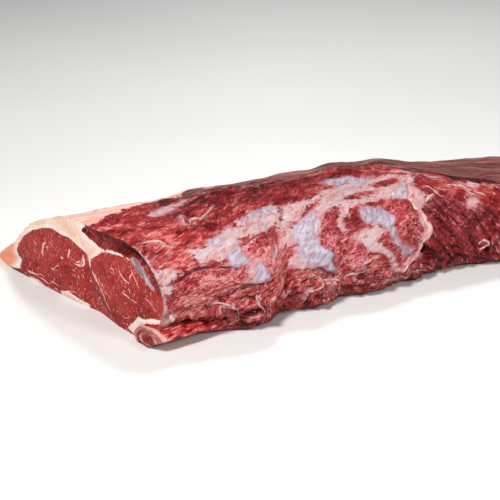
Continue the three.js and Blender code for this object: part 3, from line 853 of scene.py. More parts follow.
class SideGraph(Graph):
    """The graph of the roast's side, with the places, tissue depths and noises that its layers share."""

    def __init__(self, name: str) -> None:
        """Reads the side's attributes and builds the shared noises."""
        super().__init__(name)
        self.place = self.field("place")
        x, self.girth, _ = self.parts(self.place)
        self.fat_depth, self.silver_depth, self.wisp_depth = self.parts(self.field("white"))
        self.cap_depth, self.dried_depth, self.painted_shade_depth = self.parts(self.field("skin"))
        self.fresh_depth, self.grain_depth, self.deep_and_shade_depth = self.parts(self.field("flesh"))
        # masks for painted shade in creases, and for painted light on crests and painted shade in hollows
        self.crease, self.swell, _ = self.parts(self.field("relief"))
        self.far = self.step(x, *FAR_MUSCLES)
        self.low = self.times(self.rest(self.far), self.step(self.girth, *LOWER_FRONT))
        self.up = self.rest(self.add(self.far, self.low))
        self.bundles = self.fibres(24, 8.0, 1, 2, 0.8)
        self.threads = self.fibres(9, 2.8, 2, 3, 1.0)
        self.hairs = self.fibres(5.5, 1.3, 3, 2, 0.5)
        self.clouds = self.grain(self.place, 26, 20, 20, 4, 2)
        self.mottle = self.grain(self.place, 6.0, 4.6, 0, 5, 4, 0.8)
        self.crumbs = self.grain(self.place, 3.2, 2.3, 20, 6, 3, 0.7)
        self.patchy = self.grain(self.place, 15, 10, 30, 15, 3, 0.6)
        self.fold = self.grain(self.place, 17, 5.5, 38, 9, 3, 1.0)
        self.veins = self.lines(self.grain(self.place, 15, 5, 36, 8, 3, 1.4), 0.14)
        self.streaks = self.blend((self.grain(self.place, 60, 3.4, -7, 13, 3, 0.5),), (self.hairs, 0.15))
        rough = self.maths("MINIMUM", self.mottle, 1.3)
        self.edge = self.blend((rough, 1.9), (self.threads, 0.7), (self.hairs, 0.2))

    def fibres(self, along: float, across: float, seed: float, detail: float = 2, warp: float = 0) -> Socket:
        """Noise drawn out along the fibres, whose direction and size change over the side."""
        turned = [(self.up, UPPER_TURN, 1.5), (self.low, LOWER_TURN, 0.85), (self.far, FAR_TURN, 1.1)]
        terms = [(share, self.grain(self.place, along * size, across * size, turn, seed, detail, warp))
                 for share, turn, size in turned]
        return self.blend(*terms)


@dataclass(frozen=True)
class SideFinish:
    """The roast's side: torn flesh, membranes, fat cap and dried surface, painted by its tissue map, with
    painted shade in its clefts and hollows and painted light on its crests.
    """

    flesh: Flesh = Flesh(paint(92, 12, 16), paint(156, 38, 40), paint(206, 96, 94), paint(242, 190, 186))
    fresh: Flesh = Flesh(paint(112, 18, 18), paint(182, 54, 54), paint(234, 132, 128), paint(250, 206, 200))
    scraped: Flesh = Flesh(paint(112, 22, 28), paint(176, 62, 66), paint(228, 142, 146), paint(244, 206, 208))
    # painted shade: a darker copy of the flesh, laid over the deep patches
    shaded: Flesh = Flesh(paint(60, 6, 10), paint(118, 24, 28), paint(174, 60, 62), paint(212, 140, 142))
    fat: Fat = Fat(paint(198, 172, 176), paint(202, 148, 138), paint(168, 100, 106), paint(150, 44, 46))
    silver: Rgb = paint(152, 138, 154)
    silver_pale: Rgb = paint(188, 184, 198)
    silver_shade: Rgb = paint(172, 118, 134)
    veil: Rgb = paint(196, 112, 114)
    wisp: Rgb = paint(222, 138, 136)
    wisp_pale: Rgb = paint(238, 196, 192)
    cap: Fat = Fat(paint(236, 198, 188), paint(234, 176, 160), paint(216, 140, 132), paint(170, 70, 62))
    dried: Rgb = paint(146, 84, 80)
    dried_dark: Rgb = paint(88, 42, 40)
    dried_pale: Rgb = paint(188, 126, 118)
    dried_red: Rgb = paint(168, 76, 70)
    # painted shade: the colour put into clefts, creases and hollows
    painted_cleft_shade: Rgb = paint(58, 4, 6)

    def build(self) -> bpy.types.Material:
        """Builds the material."""
        g = SideGraph("roast_side")
        fat_share = g.step(g.add(g.fat_depth, g.edge), -2.6, 0.2)
        soft_edge = g.blend((g.mottle, 1.6), (g.clouds,))
        silver_share = g.step(g.add(g.silver_depth, soft_edge), -4.4, 1.6)
        silver_share = g.times(silver_share, g.step(g.mottle, -2.0, -1.3))
        cap_share = g.step(g.blend((g.cap_depth,), (g.edge, 0.8)), -0.8, 0.9)
        back = g.step(g.girth, 212, 226)
        frayed = g.times(back, g.blend((g.clouds, 5.0), (g.patchy, 4.0)))
        dried_share = g.step(g.blend((g.dried_depth,), (g.edge, 1.2), (frayed,)), -1.5, 1.5)
        dark = g.step(g.blend((g.painted_shade_depth,), (g.edge, 0.5)), -1.2, 1.0)
        colour = g.mix(fat_share, self.lean(g), self.membrane(g))
        colour = g.mix(g.times(silver_share, 0.88), colour, self.silver_skin(g, soft_edge))
        colour = g.mix(cap_share, colour, self.fat_cap(g))
        colour = g.mix(dried_share, colour, self.bark(g))
        # painted shade: clefts, creases and hollows darkened towards the painted cleft shade
        colour = g.mix(g.times(g.most(dark, g.crease), 0.88), colour, self.painted_cleft_shade)

        pale = g.most(fat_share, silver_share, cap_share)
        torn = g.blend((g.rest(pale), 0.9), (0.1,))
        rough = g.blend((g.threads, 0.5), (g.mottle, 0.28), (g.hairs, 0.25), (g.crumbs, 0.5))
        height = g.blend((rough, torn), (pale, 0.4), (g.veins, -0.12), (g.fold, pale, 0.34),
                         (dried_share, g.streaks, 0.2))
        roughness = g.blend((0.36,), (g.mottle, 0.07), (cap_share, 0.1), (dried_share, 0.14))
        return g.dress(colour, roughness, height)

    def lean(self, g: SideGraph) -> Socket:
        """The torn flesh, with its pale specks standing in for glints, painted light and shade over its
        lumps, flaps and bundles, painted shade in its deep patches, its pale wisps and the haze beside the
        membranes.
        """
        grain = g.step(g.blend((g.grain_depth,), (g.edge, 1.4)), -4, 4)
        fresh = g.step(g.blend((g.fresh_depth,), (g.edge, 2.0)), -9, 8)
        deep = g.step(g.blend((g.deep_and_shade_depth,), (g.edge, 1.6)), -6, 6)
        calm = g.rest(g.times(g.far, 0.7))
        smooth_tone = g.blend((g.bundles, 0.5), (g.threads, 0.25), (g.mottle, calm, 0.4),
                              (g.patchy, calm, 0.75))
        rough_tone = g.blend((g.crumbs, 1.1), (g.mottle, 0.6), (g.hairs, 0.3))
        # painted light and shade: lighter on the crests of lumps, flap rims and far bundles and over the
        # lower front, darker in hollows; the clouds add random tone
        broad = g.blend((g.clouds, 0.5), (g.swell, 1.1), (g.low, 0.4))
        tone = g.blend((smooth_tone, g.rest(grain)), (rough_tone, grain), (broad,))
        fibrous = g.blend((g.threads, 0.75), (g.bundles, 0.25))
        shine = g.blend((fibrous, g.rest(grain)), (g.crumbs, grain, 0.8), (g.mottle, 0.6), (g.hairs, 0.35),
                        (g.patchy, 0.6), (broad,))
        # painted highlight: pale specks that stand in for small wet glints
        specks = g.step(g.blend((g.hairs,), (g.threads, 0.5), (g.patchy, 0.7), (deep, -0.4)), 1.1, 1.7)
        palette = self.flesh.towards(g, self.fresh, g.times(fresh, 0.9)).towards(g, self.scraped, grain)
        # painted shade: the deep patches take the darker shaded flesh
        palette = palette.towards(g, self.shaded, g.times(deep, 0.75))
        lean = palette.colour(g, tone, shine, g.times(specks, 0.75))
        wisps = g.blend((g.fibres(13, 3.2, 7, 3, 1.0),), (g.patchy, 0.6), (g.hairs, 0.3), (g.low, 0.3))
        wisp_zone = g.step(g.blend((g.wisp_depth,), (g.edge, 1.2)), -4.0, 2.0)
        wisp = g.times(wisp_zone, g.step(wisps, -0.2, 1.1))
        lean = g.mix(g.times(wisp, 0.7), lean, self.wisp)
        lean = g.mix(g.times(wisp, g.step(g.hairs, 0.1, 1.0), 0.8), lean, self.wisp_pale)
        near_fat = g.blend((g.most(g.fat_depth, g.silver_depth),), (g.edge, 1.5))
        haze = g.times(g.step(near_fat, -9, 1), g.step(g.threads, -0.6, 0.8))
        return g.mix(g.times(haze, 0.7), lean, self.veil)

    def membrane(self, g: SideGraph) -> Socket:
        """The pale fat and membranes, filmed over in places and thin towards their edges."""
        blush = g.blend((g.grain(g.place, 9, 3.2, 40, 16, 3, 0.8), 0.8), (g.mottle, 0.5))
        fat = self.fat.colour(g, g.fold, blush, g.veins)
        film = g.step(g.blend((g.patchy,), (g.fold, 0.5)), 0.0, 1.2)
        fat = g.mix(g.times(film, g.rest(g.far), 0.5), fat, self.silver_pale)
        thin = g.step(g.blend((g.fat_depth,), (g.edge, 1.5)), 5.0, -1.0)
        thin = g.times(thin, g.step(g.threads, -0.5, 0.6))
        return g.mix(g.times(thin, 0.6), fat, self.veil)

    def silver_skin(self, g: SideGraph, soft_edge: Socket) -> Socket:
        """The silver skin, which its noise thins in places and towards its edge."""
        sheen = g.grain(g.place, 9, 4.0, 50, 10, 3, 0.6)
        skin = g.mix(g.step(sheen, -0.7, 0.8), self.silver, self.silver_pale)
        worn = g.step(g.blend((sheen, -1.0), (g.mottle, 0.6)), 0.4, 1.5)
        skin = g.mix(g.times(worn, 0.6), skin, self.veil)
        rim = g.step(g.add(g.silver_depth, soft_edge), 2.4, -2.4)
        return g.mix(g.times(rim, 0.6), skin, self.silver_shade)

    def fat_cap(self, g: SideGraph) -> Socket:
        """The cream fat cap, in long bands."""
        bands = g.grain(g.place, 40, 4.5, 4, 11, 3, 0.8)
        return self.cap.colour(g, g.grain(g.place, 30, 9, 4, 12, 3), bands, g.lines(bands, 0.16))

    def bark(self, g: SideGraph) -> Socket:
        """The dried surface, in brown layers with red and pale ones between."""
        layers = g.grain(g.place, 80, 13, -7, 14, 2, 0.6)
        bark = g.mix(g.step(g.blend((g.streaks,), (layers, 0.5)), -1.2, 0.6), self.dried_dark, self.dried)
        pale = g.step(g.blend((layers,), (g.streaks, 0.6)), 0.2, 1.5)
        bark = g.mix(g.times(pale, 0.85), bark, self.dried_pale)
        red = g.step(g.blend((g.clouds,), (g.streaks, 0.4)), 0.5, 1.7)
        bark = g.mix(g.times(red, 0.6), bark, self.dried_red)
        rim = g.times(g.step(g.dried_depth, 9, 1), g.step(g.streaks, -0.6, 0.6))
        return g.mix(g.times(rim, 0.7), bark, self.dried_dark)


@dataclass(frozen=True)
class CutFinish:
    """The cut end of the roast: marbled muscles with fat and silver skin between them."""

    flesh: Flesh = Flesh(paint(128, 24, 24), paint(168, 40, 38), paint(208, 82, 76), paint(246, 200, 192))
    fat: Fat = Fat(paint(255, 236, 226), paint(252, 210, 190), paint(242, 176, 162), paint(210, 120, 106))
    silver: Rgb = paint(150, 112, 122)
    silver_pale: Rgb = paint(204, 196, 210)
    tail: Rgb = paint(252, 148, 106)
    # the strip's darker flesh: partly its own colour, partly painted shade of its recess
    strip: Flesh = Flesh(paint(84, 20, 22), paint(132, 40, 40), paint(170, 84, 80), paint(196, 128, 122))
    fresh: Rgb = paint(196, 56, 48)
    shadow: Rgb = paint(60, 12, 16)

    def build(self) -> bpy.types.Material:
        """Builds the material."""
        g = Graph("roast_cut")
        place = g.field("cut_place")
        across, up, _ = g.parts(place)
        fat_depth, silver_depth, painted_shade_depth = g.parts(g.field("cut_white"))
        strip_depth, fresh_depth, _ = g.parts(g.field("cut_flesh"))
        eye = g.step(across, 62, 84)

        def fibres(along: float, width: float, seed: float, detail: float = 2, warp: float = 0) -> Socket:
            """Noise drawn out across the eye's height, and slantwise over the inner muscle."""
            on_eye = g.grain(place, along, width, 98, seed, detail, warp)
            on_inner = g.grain(place, along, width, 58, seed, detail, warp)
            return g.add(g.times(eye, on_eye), g.times(g.rest(eye), on_inner))

        clouds = g.grain(place, 26, 20, 0, 21, 2)
        bundles = fibres(12, 5, 22, 3, 0.6)
        threads = fibres(4.6, 1.5, 23, 3, 0.5)
        fine = fibres(2.4, 0.9, 24, 2)
        mottle = g.grain(place, 4.4, 4, 0, 25, 3, 0.6)
        edge = g.add(g.times(mottle, 0.55), g.times(threads, 0.35))

        shade = g.times(g.step(up, 52, 84), -0.4)
        tone = g.blend((bundles, 0.5), (threads, 0.4), (clouds, 0.6), (fine, 0.35), (mottle, 0.5), (shade,))
        shine = g.blend((threads, 0.6), (fine, 0.6), (clouds, 0.3), (mottle, 0.3))
        flecks = g.step(g.blend((threads,), (fine, 0.5), (clouds, 0.3), (shade,)), 1.05, 1.7)
        webs = fibres(9, 2.6, 26, 3, 1.4)
        marbling = g.step(g.add(webs, g.times(clouds, 0.4), g.times(fine, 0.2)), 1.1, 1.6)
        pale = g.most(g.times(flecks, 0.65), g.times(marbling, 0.9))
        # painted shade: the recessed strip takes the darker strip flesh
        strip = g.step(g.add(strip_depth, edge), -0.6, 0.8)
        lean = self.flesh.towards(g, self.strip, strip).colour(g, tone, shine, g.times(pale, g.rest(strip)))
        lean = g.mix(g.times(g.step(g.add(fresh_depth, edge), -1.5, 1.5), 0.6), lean, self.fresh)

        veins = g.lines(g.grain(place, 10, 3.4, -30, 28, 3, 1.0), 0.12)
        inland = g.add(g.step(fat_depth, 1.5, 6.0), g.times(clouds, 0.6), -0.5)
        fat = self.fat.colour(g, inland, g.add(mottle, g.times(clouds, 0.5), -0.5), veins)
        on_tail = g.times(g.step(across, 190, 204), g.step(g.add(fat_depth, g.times(edge, 2.0)), 0.5, 3.5))
        fat = g.mix(g.times(on_tail, 0.85), fat, self.tail)
        fat_share = g.step(g.add(fat_depth, edge), -0.35, 0.5)
        silver_share = g.step(g.add(silver_depth, edge), -0.4, 0.6)
        colour = g.mix(fat_share, lean, fat)
        sheen = g.grain(place, 12, 1.6, 40, 29, 3, 0.4)
        bright = g.step(g.blend((sheen,), (g.step(up, 70, 56), 1.1)), -0.2, 1.3)
        skin = g.mix(bright, self.silver, self.silver_pale)
        colour = g.mix(g.times(silver_share, 0.9), colour, skin)
        # painted shadow along the foot of the cut
        colour = g.mix(g.times(g.step(g.add(painted_shade_depth, edge), -1, 1), 0.8), colour, self.shadow)
        height = g.blend((threads, 0.12), (fine, 0.06), (bundles, 0.16), (pale, 0.16), (fat_share, 0.3),
                         (mottle, fat_share, 0.1))
        roughness = g.add(0.4, g.times(mottle, 0.05))
        return g.dress(colour, roughness, height, 0.12)


@dataclass(frozen=True)
class RollFinish:
    """The rolled muscle: red and brown layers with thin pale membranes between them, by radius."""

    flesh: Flesh = Flesh(paint(70, 14, 16), paint(138, 40, 40), paint(186, 78, 74), paint(226, 164, 156))
    outside: Flesh = Flesh(paint(96, 16, 18), paint(164, 46, 48), paint(222, 128, 124), paint(246, 200, 194))
    membrane: Rgb = paint(232, 176, 166)
    fresh: Rgb = paint(212, 74, 58)
    membranes: tuple[tuple[float, float], ...] = ((0.5, 0.05), (0.78, 0.045), (0.97, 0.06))

    def build(self) -> bpy.types.Material:
        """Builds the material."""
        g = Graph("rolled_muscle")
        place = g.field("roll_place")
        radius, turn, along = g.parts(place)
        spot = g.node("ShaderNodeTexCoord", {}).outputs["Object"]
        unrolled = g.node("ShaderNodeCombineXYZ", {0: radius, 1: turn}).outputs[0]
        layers = g.grain(unrolled, 0.07, 0.9, 0, 31, 3)
        mottle = g.grain(spot, 0.004, 0.004, 0, 32, 3)
        streaks = g.grain(spot, 0.014, 0.002, 8, 33, 3)
        on_end = g.step(along, 6, 3)
        tone = g.blend((layers, on_end), (mottle, 0.7), (streaks, g.rest(on_end)))
        flesh = self.flesh.towards(g, self.outside, g.rest(on_end)).colour(g, tone, tone, 0.0)
        wobble = g.add(radius, g.times(mottle, 0.012))
        pale = 0.0
        for where, half_width in self.membranes:
            away = g.maths("ABSOLUTE", g.add(wobble, -where))
            line = g.step(away, 2.0 * half_width, 0.4 * half_width)
            pale = g.maths("MAXIMUM", pale, line)
        side = g.times(g.step(streaks, 0.5, 1.4), g.rest(on_end))
        colour = g.mix(g.add(g.times(pale, 0.85, on_end), g.times(side, 0.5)), flesh, self.membrane)
        right = g.times(g.step(turn, 0.55, 0.2), g.step(radius, 0.66, 0.8))
        colour = g.mix(g.times(right, 0.6), colour, self.fresh)
        height = g.blend((mottle, 0.2), (pale, 0.3), (layers, on_end, 0.15), (side, 0.2))
        return g.dress(colour, 0.36, height)


class StrandKind(Enum):
    """What strands and tags on the surface are made of."""

    FAT = "fat_strands"
    FLESH = "flesh_tags"
    VEIN = "marbling_veins"


@dataclass(frozen=True)
class StrandFinish:
    """Strands, tags and flecks: one colour, a warmer one in clouds, and a fine grain."""

    name: str
    ground: Rgb
    cloud: Rgb
    shade: Rgb
    roughness: float = 0.38

    def build(self) -> bpy.types.Material:
        """Builds the material."""
        g = Graph(self.name)
        spot = g.node("ShaderNodeTexCoord", {}).outputs["Object"]
        clouds = g.grain(spot, 0.007, 0.005, 30, 41, 3)
        threads = g.grain(spot, 0.006, 0.0016, 20, 42, 3)
        colour = g.mix(g.step(clouds, -0.5, 0.8), self.ground, self.cloud)
        colour = g.mix(g.step(threads, 0.0, 1.2), colour, self.shade)
        return g.dress(colour, self.roughness, g.add(g.times(threads, 0.25), g.times(clouds, 0.3)))


STRAND_FINISHES = {
    StrandKind.FAT: StrandFinish(
        "fat_strands", paint(220, 180, 174), paint(208, 144, 136), paint(180, 100, 98)),
    StrandKind.FLESH: StrandFinish(
        "flesh_tags", paint(128, 26, 30), paint(176, 66, 68), paint(212, 138, 136)),
    StrandKind.VEIN: StrandFinish(
        "marbling", paint(250, 206, 196), paint(236, 172, 162), paint(206, 116, 108)),
}


@cache
def strand_material(kind: StrandKind) -> bpy.types.Material:
    """The material of one kind of strand, built once."""
    return STRAND_FINISHES[kind].build()


def new_piece(name: str, points: Array, faces: list[tuple[int, ...]], *materials: bpy.types.Material
              ) -> bpy.types.Object:
    """Makes a smooth-shaded mesh object in the frame.

    Args:
        name: The piece's name.
        points: Its points, in metres.
        faces: Its faces, as numbers of points.
        materials: Its materials.

    Returns:
        The new object, linked to the scene.
    """
    mesh = bpy.data.meshes.new(name)
    mesh.from_pydata(points.tolist(), [], faces)
    mesh.shade_smooth()
    for material in materials:
        mesh.materials.append(material)
    mesh.update()
    piece = bpy.data.objects.new(name, mesh)
    bpy.context.scene.collection.objects.link(piece)
    return piece


def ring_faces(rings: int, sides: int, start: int = 0, flipped: bool = False) -> list[tuple[int, ...]]:
    """The quads between rings of points.

    Args:
        rings: The number of rings.
        sides: The points in a ring.
        start: The first ring's first point.
        flipped: Whether the faces look the other way.

    Returns:
        The quads, ring by ring.
    """
    ring, side = np.meshgrid(np.arange(rings - 1), np.arange(sides), indexing="ij")
    a, b = start + ring * sides + side, start + ring * sides + (side + 1) % sides
    corners = [a, b, b + sides, a + sides] if flipped else [a, a + sides, b + sides, b]
    return np.stack(corners, -1).reshape(-1, 4).tolist()


def capped_faces(rings: int, sides: int, flipped: bool = False) -> list[tuple[int, ...]]:
    """The quads between rings of points, and a fan at each end to the two points that follow the rings.

    Args:
        rings: The number of rings.
        sides: The points in a ring.
        flipped: Whether the faces look the other way.

    Returns:
        Quads ring by ring, then the near fan, then the far fan.
    """
    tip, last = rings * sides, (rings - 1) * sides
    pairs = [((k + 1) % sides, k) if flipped else (k, (k + 1) % sides) for k in range(sides)]
    near_fan = [(tip, a, b) for a, b in pairs]
    far_fan = [(tip + 1, last + b, last + a) for a, b in pairs]
    return ring_faces(rings, sides, flipped=flipped) + near_fan + far_fan


def box_of_roast() -> tuple[Array, Array]:
    """The low and high corners of the roast's packed box, in millimetres."""
    low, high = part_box("roast")
    return np.array(low) / MM, np.array(high) / MM


def write_field(piece: bpy.types.Object, name: str, columns: Sequence[Array]) -> None:
    """Writes three numbers for each point of a mesh as an attribute."""
    values = np.zeros((len(piece.data.vertices), 3), np.float32)
    for k, column in enumerate(columns):
        values[:, k] = column
    attribute = piece.data.attributes.new(name, "FLOAT_VECTOR", "POINT")
    attribute.data.foreach_set("vector", values.ravel())


def fit_in_piece(piece: bpy.types.Object, body: str) -> None:
    """Makes a piece ride on its body, and reports it."""
    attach(piece, body)
    LOG.info("%s: %d faces", piece.name, len(piece.data.polygons))


def deepest(tissue_map: TissueMap, x: Array, y: Array, *tissues: Tissue) -> Array:
    """How deep places lie inside any of some tissues, in millimetres."""
    return np.max([tissue_map.depth(tissue, x, y) for tissue in tissues], axis=0)


@dataclass(frozen=True)
class RoastBody:
    """The roast itself: its side on a fine grid, and its two cuts as rings that shrink to their middles."""

    form: RoastForm = RoastForm()
    visible_to: float = 285
    fine_step: float = 1.6
    coarse_step: float = 3.6
    girth_steps: tuple[tuple[float, float], ...] = ((255, 1.7), (352, 3.2), (584, 4.2))
    near_rings: int = 96
    far_rings: int = 20
    near_swellings: tuple[Lump, ...] = (
        Lump(136, 32, 58, 28, -8, 3.5), Lump(38, 40, 36, 28, -20, 2.5), Lump(84, 62, 26, 5, 62, -1.2))
    far_swellings: tuple[Lump, ...] = (Lump(128, 28, 46, 20, -6, 3.0), Lump(44, 32, 30, 22, -10, 2.5))
    strip_depth: float = 6.5
    crease_depth: float = 2.4
    bundle_height: float = 3.6
    flap_height: float = 3.4
    lobe_height: float = 2.6
    far_dip: float = 4.0
    headroom: float = 4.0
    rim: float = 5.0
    cad_rings: int = 54
    cad_sides: int = 60

    def lengths(self) -> Array:
        """The rings' places on the length scale."""
        start, end = self.form.near_x, self.form.near_x + self.form.length
        fine = np.arange(start, self.visible_to, self.fine_step)
        count = math.ceil((end - self.visible_to) / self.coarse_step)
        return np.concatenate([fine, np.linspace(self.visible_to, end, count + 1)])

    def girths(self) -> Array:
        """The grid's places on the girth scale."""
        total = self.form.girth_table()[1][-1]
        places = [np.zeros(0)]
        start = 0.0
        for end, step in self.girth_steps:
            stop = min(end, total)
            places.append(np.linspace(start, stop, math.ceil((stop - start) / step), endpoint=False))
            start = stop
        return np.concatenate(places)

    def shift(self) -> Array:
        """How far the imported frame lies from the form's own frame, in millimetres."""
        x = self.form.near_x + np.arange(self.cad_rings + 1)[:, None] / self.cad_rings * self.form.length
        t, girth = self.form.girth_table()
        sides = np.interp(np.arange(self.cad_sides) / self.cad_sides, t, girth)[None, :]
        points = self.form.side(x, sides).reshape(-1, 3)
        low, high = box_of_roast()
        middle = (points.min(0) + points.max(0)) / 2
        return np.array([*((low + high) / 2 - middle)[:2], 0.0])

    def fine_relief(self, x: Array, girth: Array) -> Array:
        """The relief of fibres, membranes, clefts and torn edges over the form, in millimetres."""
        far = smooth(*FAR_MUSCLES, x)
        low = (1 - far) * smooth(*LOWER_FRONT, girth)
        up = 1 - far - low

        def fibres(length: float, width: float, seed: int) -> Array:
            turned = ((up, UPPER_TURN), (low, LOWER_TURN), (far, FAR_TURN))
            return sum(share * along_fibres(x, girth, turn, length, width, seed) for share, turn in turned)

        fat = smooth(-0.8, 1.2, SIDE_MAP.depth(Tissue.FAT, x, girth))
        dried = SIDE_MAP.depth(Tissue.DRIED, x, girth)
        cap = smooth(-1, 4, deepest(SIDE_MAP, x, girth, Tissue.CAP, Tissue.DRIED))
        torn = (1 - 0.75 * fat) * (1 - 0.8 * cap)
        grain = smooth(-4, 3, SIDE_MAP.depth(Tissue.GRAIN, x, girth))
        relief = torn * (0.8 * fibres(26, 6.0, 51) + 0.55 * fibres(14, 3.4, 52))
        relief += torn * far * self.bundle_height * smooth(0, 0.6, np.abs(self.bundle_waves(x, girth)))
        crumbs = uneven(x / 4.6, girth / 4.2, 53) + 0.6 * uneven(x / 3.4, girth / 3.2, 54)
        relief += torn * (0.45 + 0.6 * grain) * crumbs
        relief += self.lobe_height * smooth(-0.5, 2.5, dried) * smooth(40, 8, dried) * smooth(142, 168, x)
        relief -= self.far_dip * smooth(190, 280, x) * smooth(120, 180, girth)
        relief += 0.8 * uneven(x / 17, girth / 13, 55) + 0.9 * cap * along_fibres(x, girth, -7, 70, 8, 56)
        ragged = self.ragged(girth)
        flap = self.flaps(x, girth)
        relief += ragged * (2.6 * self.lumps(x, girth) + 0.8 * fibres(18, 4, 59) - self.flap_height * flap)
        return relief + 0.7 * fat + SIDE_MAP.relief(x, girth) - self.crease_depth * self.creases(x, girth)

    @staticmethod
    def ragged(girth: Array) -> Array:
        """How torn the side is, which is most along its lower front."""
        return smooth(70, 36, girth) * smooth(2, 10, girth)

    @staticmethod
    def lumps(x: Array, girth: Array) -> Array:
        """Lumps and hollows of torn flesh, mostly from -1 to 1."""
        return uneven(x / 9, girth / 7, 57) + 0.6 * uneven(x / 5, girth / 4.5, 58)

    @staticmethod
    def flaps(x: Array, girth: Array) -> Array:
        """Layers of torn flesh that hang over each other: 0 at a layer's lower edge, up to 1 at its top."""
        warp = 1.5 * uneven(x / 30, girth / 18, 72) + 0.6 * uneven(x / 10, girth / 8, 73)
        layer = girth / 11 - x / 90 + warp
        return layer - np.floor(layer)

    def swell(self, x: Array, girth: Array) -> Array:
        """Where the flesh stands out (over 0) or lies deep (under 0), at its layers and the far bundles. Only
        the side's colour reads it: painted light on the crests, painted shade in the hollows.
        """
        far = smooth(*FAR_MUSCLES, x)
        flap = self.flaps(x, girth)
        edges = smooth(0.35, 0.0, flap) - smooth(0.7, 1.0, flap)
        bundles = 2 * smooth(0.05, 0.7, np.abs(self.bundle_waves(x, girth))) - 1
        return self.ragged(girth) * (0.7 * self.lumps(x, girth) + 0.9 * edges) + far * (0.6 * bundles - 0.25)

    @staticmethod
    def bundle_waves(x: Array, girth: Array) -> Array:
        """Waves whose middles are the creases between the far muscles' bundles, from -1 to 1."""
        return along_fibres(x + 3 * uneven(x / 14, girth / 14, 69), girth, FAR_TURN, 70, 14, 66)

    def creases(self, x: Array, girth: Array) -> Array:
        """Narrow creases between bundles of flesh, from 0 to 1, most along the lower front and far away. They
        are grooved into the relief and also darkened in the side's colour as painted shade.
        """
        far = smooth(*FAR_MUSCLES, x)
        near = smooth(0.13, 0.0, np.abs(along_fibres(x, girth, 18, 24, 10, 63)))
        near = np.maximum(near, 0.7 * smooth(0.14, 0.0, np.abs(along_fibres(x, girth, 18, 15, 6, 64))))
        away = smooth(0.3, 0.06, np.abs(self.bundle_waves(x, girth)))
        small = smooth(0.16, 0.0, np.abs(along_fibres(x, girth, FAR_TURN, 36, 7, 67)))
        away = np.maximum(away, 0.6 * small)
        pale = deepest(SIDE_MAP, x, girth, Tissue.FAT, Tissue.SILVER, Tissue.CAP, Tissue.DRIED)
        strength = 0.3 * smooth(0.1, 0.5, uneven(x / 26, girth / 20, 65)) + 0.9 * self.ragged(girth)
        away_strength = 0.45 + 0.4 * smooth(-0.4, 0.5, uneven(x / 30, girth / 24, 68))
        lines = near * (1 - far) * strength + away * far * away_strength
        return np.clip(lines, 0, 1) * smooth(0.5, -2.5, pale)

    def side(self, x: Array, girth: Array) -> Array:
        """The dressed side at a grid of places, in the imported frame, in millimetres."""
        points = self.form.side(x, girth)
        along, round_it = np.gradient(points, axis=0), np.gradient(points, axis=1)
        outward = np.cross(round_it, along)
        outward /= np.linalg.norm(outward, axis=-1, keepdims=True)
        outward *= np.sign(np.sum(outward[:, len(girth[0]) // 4, 2]))
        clear = smooth(0.5, 9, points[..., 2])
        ends = smooth(0, self.rim, x - self.form.near_x)
        points = points + outward * (self.fine_relief(x, girth) * clear * ends)[..., None]
        points[..., 2] = np.maximum(points[..., 2], 0)
        return self.under_ceiling(points + self.shift())

    def under_ceiling(self, points: Array) -> Array:
        """Eases the highest crests down under the roast's full height without flattening them."""
        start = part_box("roast")[1].z / MM - self.headroom
        over = np.maximum(points[..., 2] - start, 0)
        points[..., 2] += self.headroom * (1 - np.exp(-over / self.headroom)) - over
        return points

    def build(self) -> bpy.types.Object:
        """Builds and dresses the body, and keeps its grid for the pieces that lie on it."""
        x, girth = np.meshgrid(self.lengths(), self.girths(), indexing="ij")
        side = self.side(x, girth)
        rings, sides = x.shape
        near, near_places = self.cut(side[0], self.near_rings, self.near_swellings, self.strip_depth, False)
        far, far_places = self.cut(side[-1], self.far_rings, self.far_swellings, 0, True)
        low, high = box_of_roast()
        points = np.clip(np.concatenate([near[::-1].reshape(-1, 3), side.reshape(-1, 3), far.reshape(-1, 3),
                                         near[-1:].mean(1), far[-1:].mean(1)]), low, high)
        total = len(near) + rings + len(far)
        faces = capped_faces(total, sides)
        piece = new_piece("roast_body", points * MM, faces, SideFinish().build(), CutFinish().build())
        quads, fans = np.repeat(np.arange(total - 1), sides), (np.full(sides, -1), np.full(sides, total))
        ring_of = np.concatenate([quads, *fans])
        is_cut = (ring_of < len(near)) | (ring_of >= len(near) + rings - 1)
        piece.data.polygons.foreach_set("material_index", is_cut.astype(np.int32))
        self.write_side_fields(piece, x, girth, len(near) * sides)
        self.write_cut_fields(piece, near_places, far_places, sides, rings)
        return piece

    def cut_places(self, points: Array, is_far: bool) -> tuple[Array, Array]:
        """Places across and up the near cut; the far cut is laid out like it, to its own size."""
        local = points - self.shift()
        if not is_far:
            return (local[..., 1] - self.form.skew_y) * math.hypot(1, self.form.near_skew), local[..., 2]
        front, tail = self.form.front_y, self.form.tail_y
        share = (local[..., 1] - front[-1]) / (tail[-1] - front[-1])
        width = tail[0] - front[0]
        up = local[..., 2] * self.form.thick[0] / self.form.thick[-1]
        return (front[0] - self.form.skew_y) + share * width, up

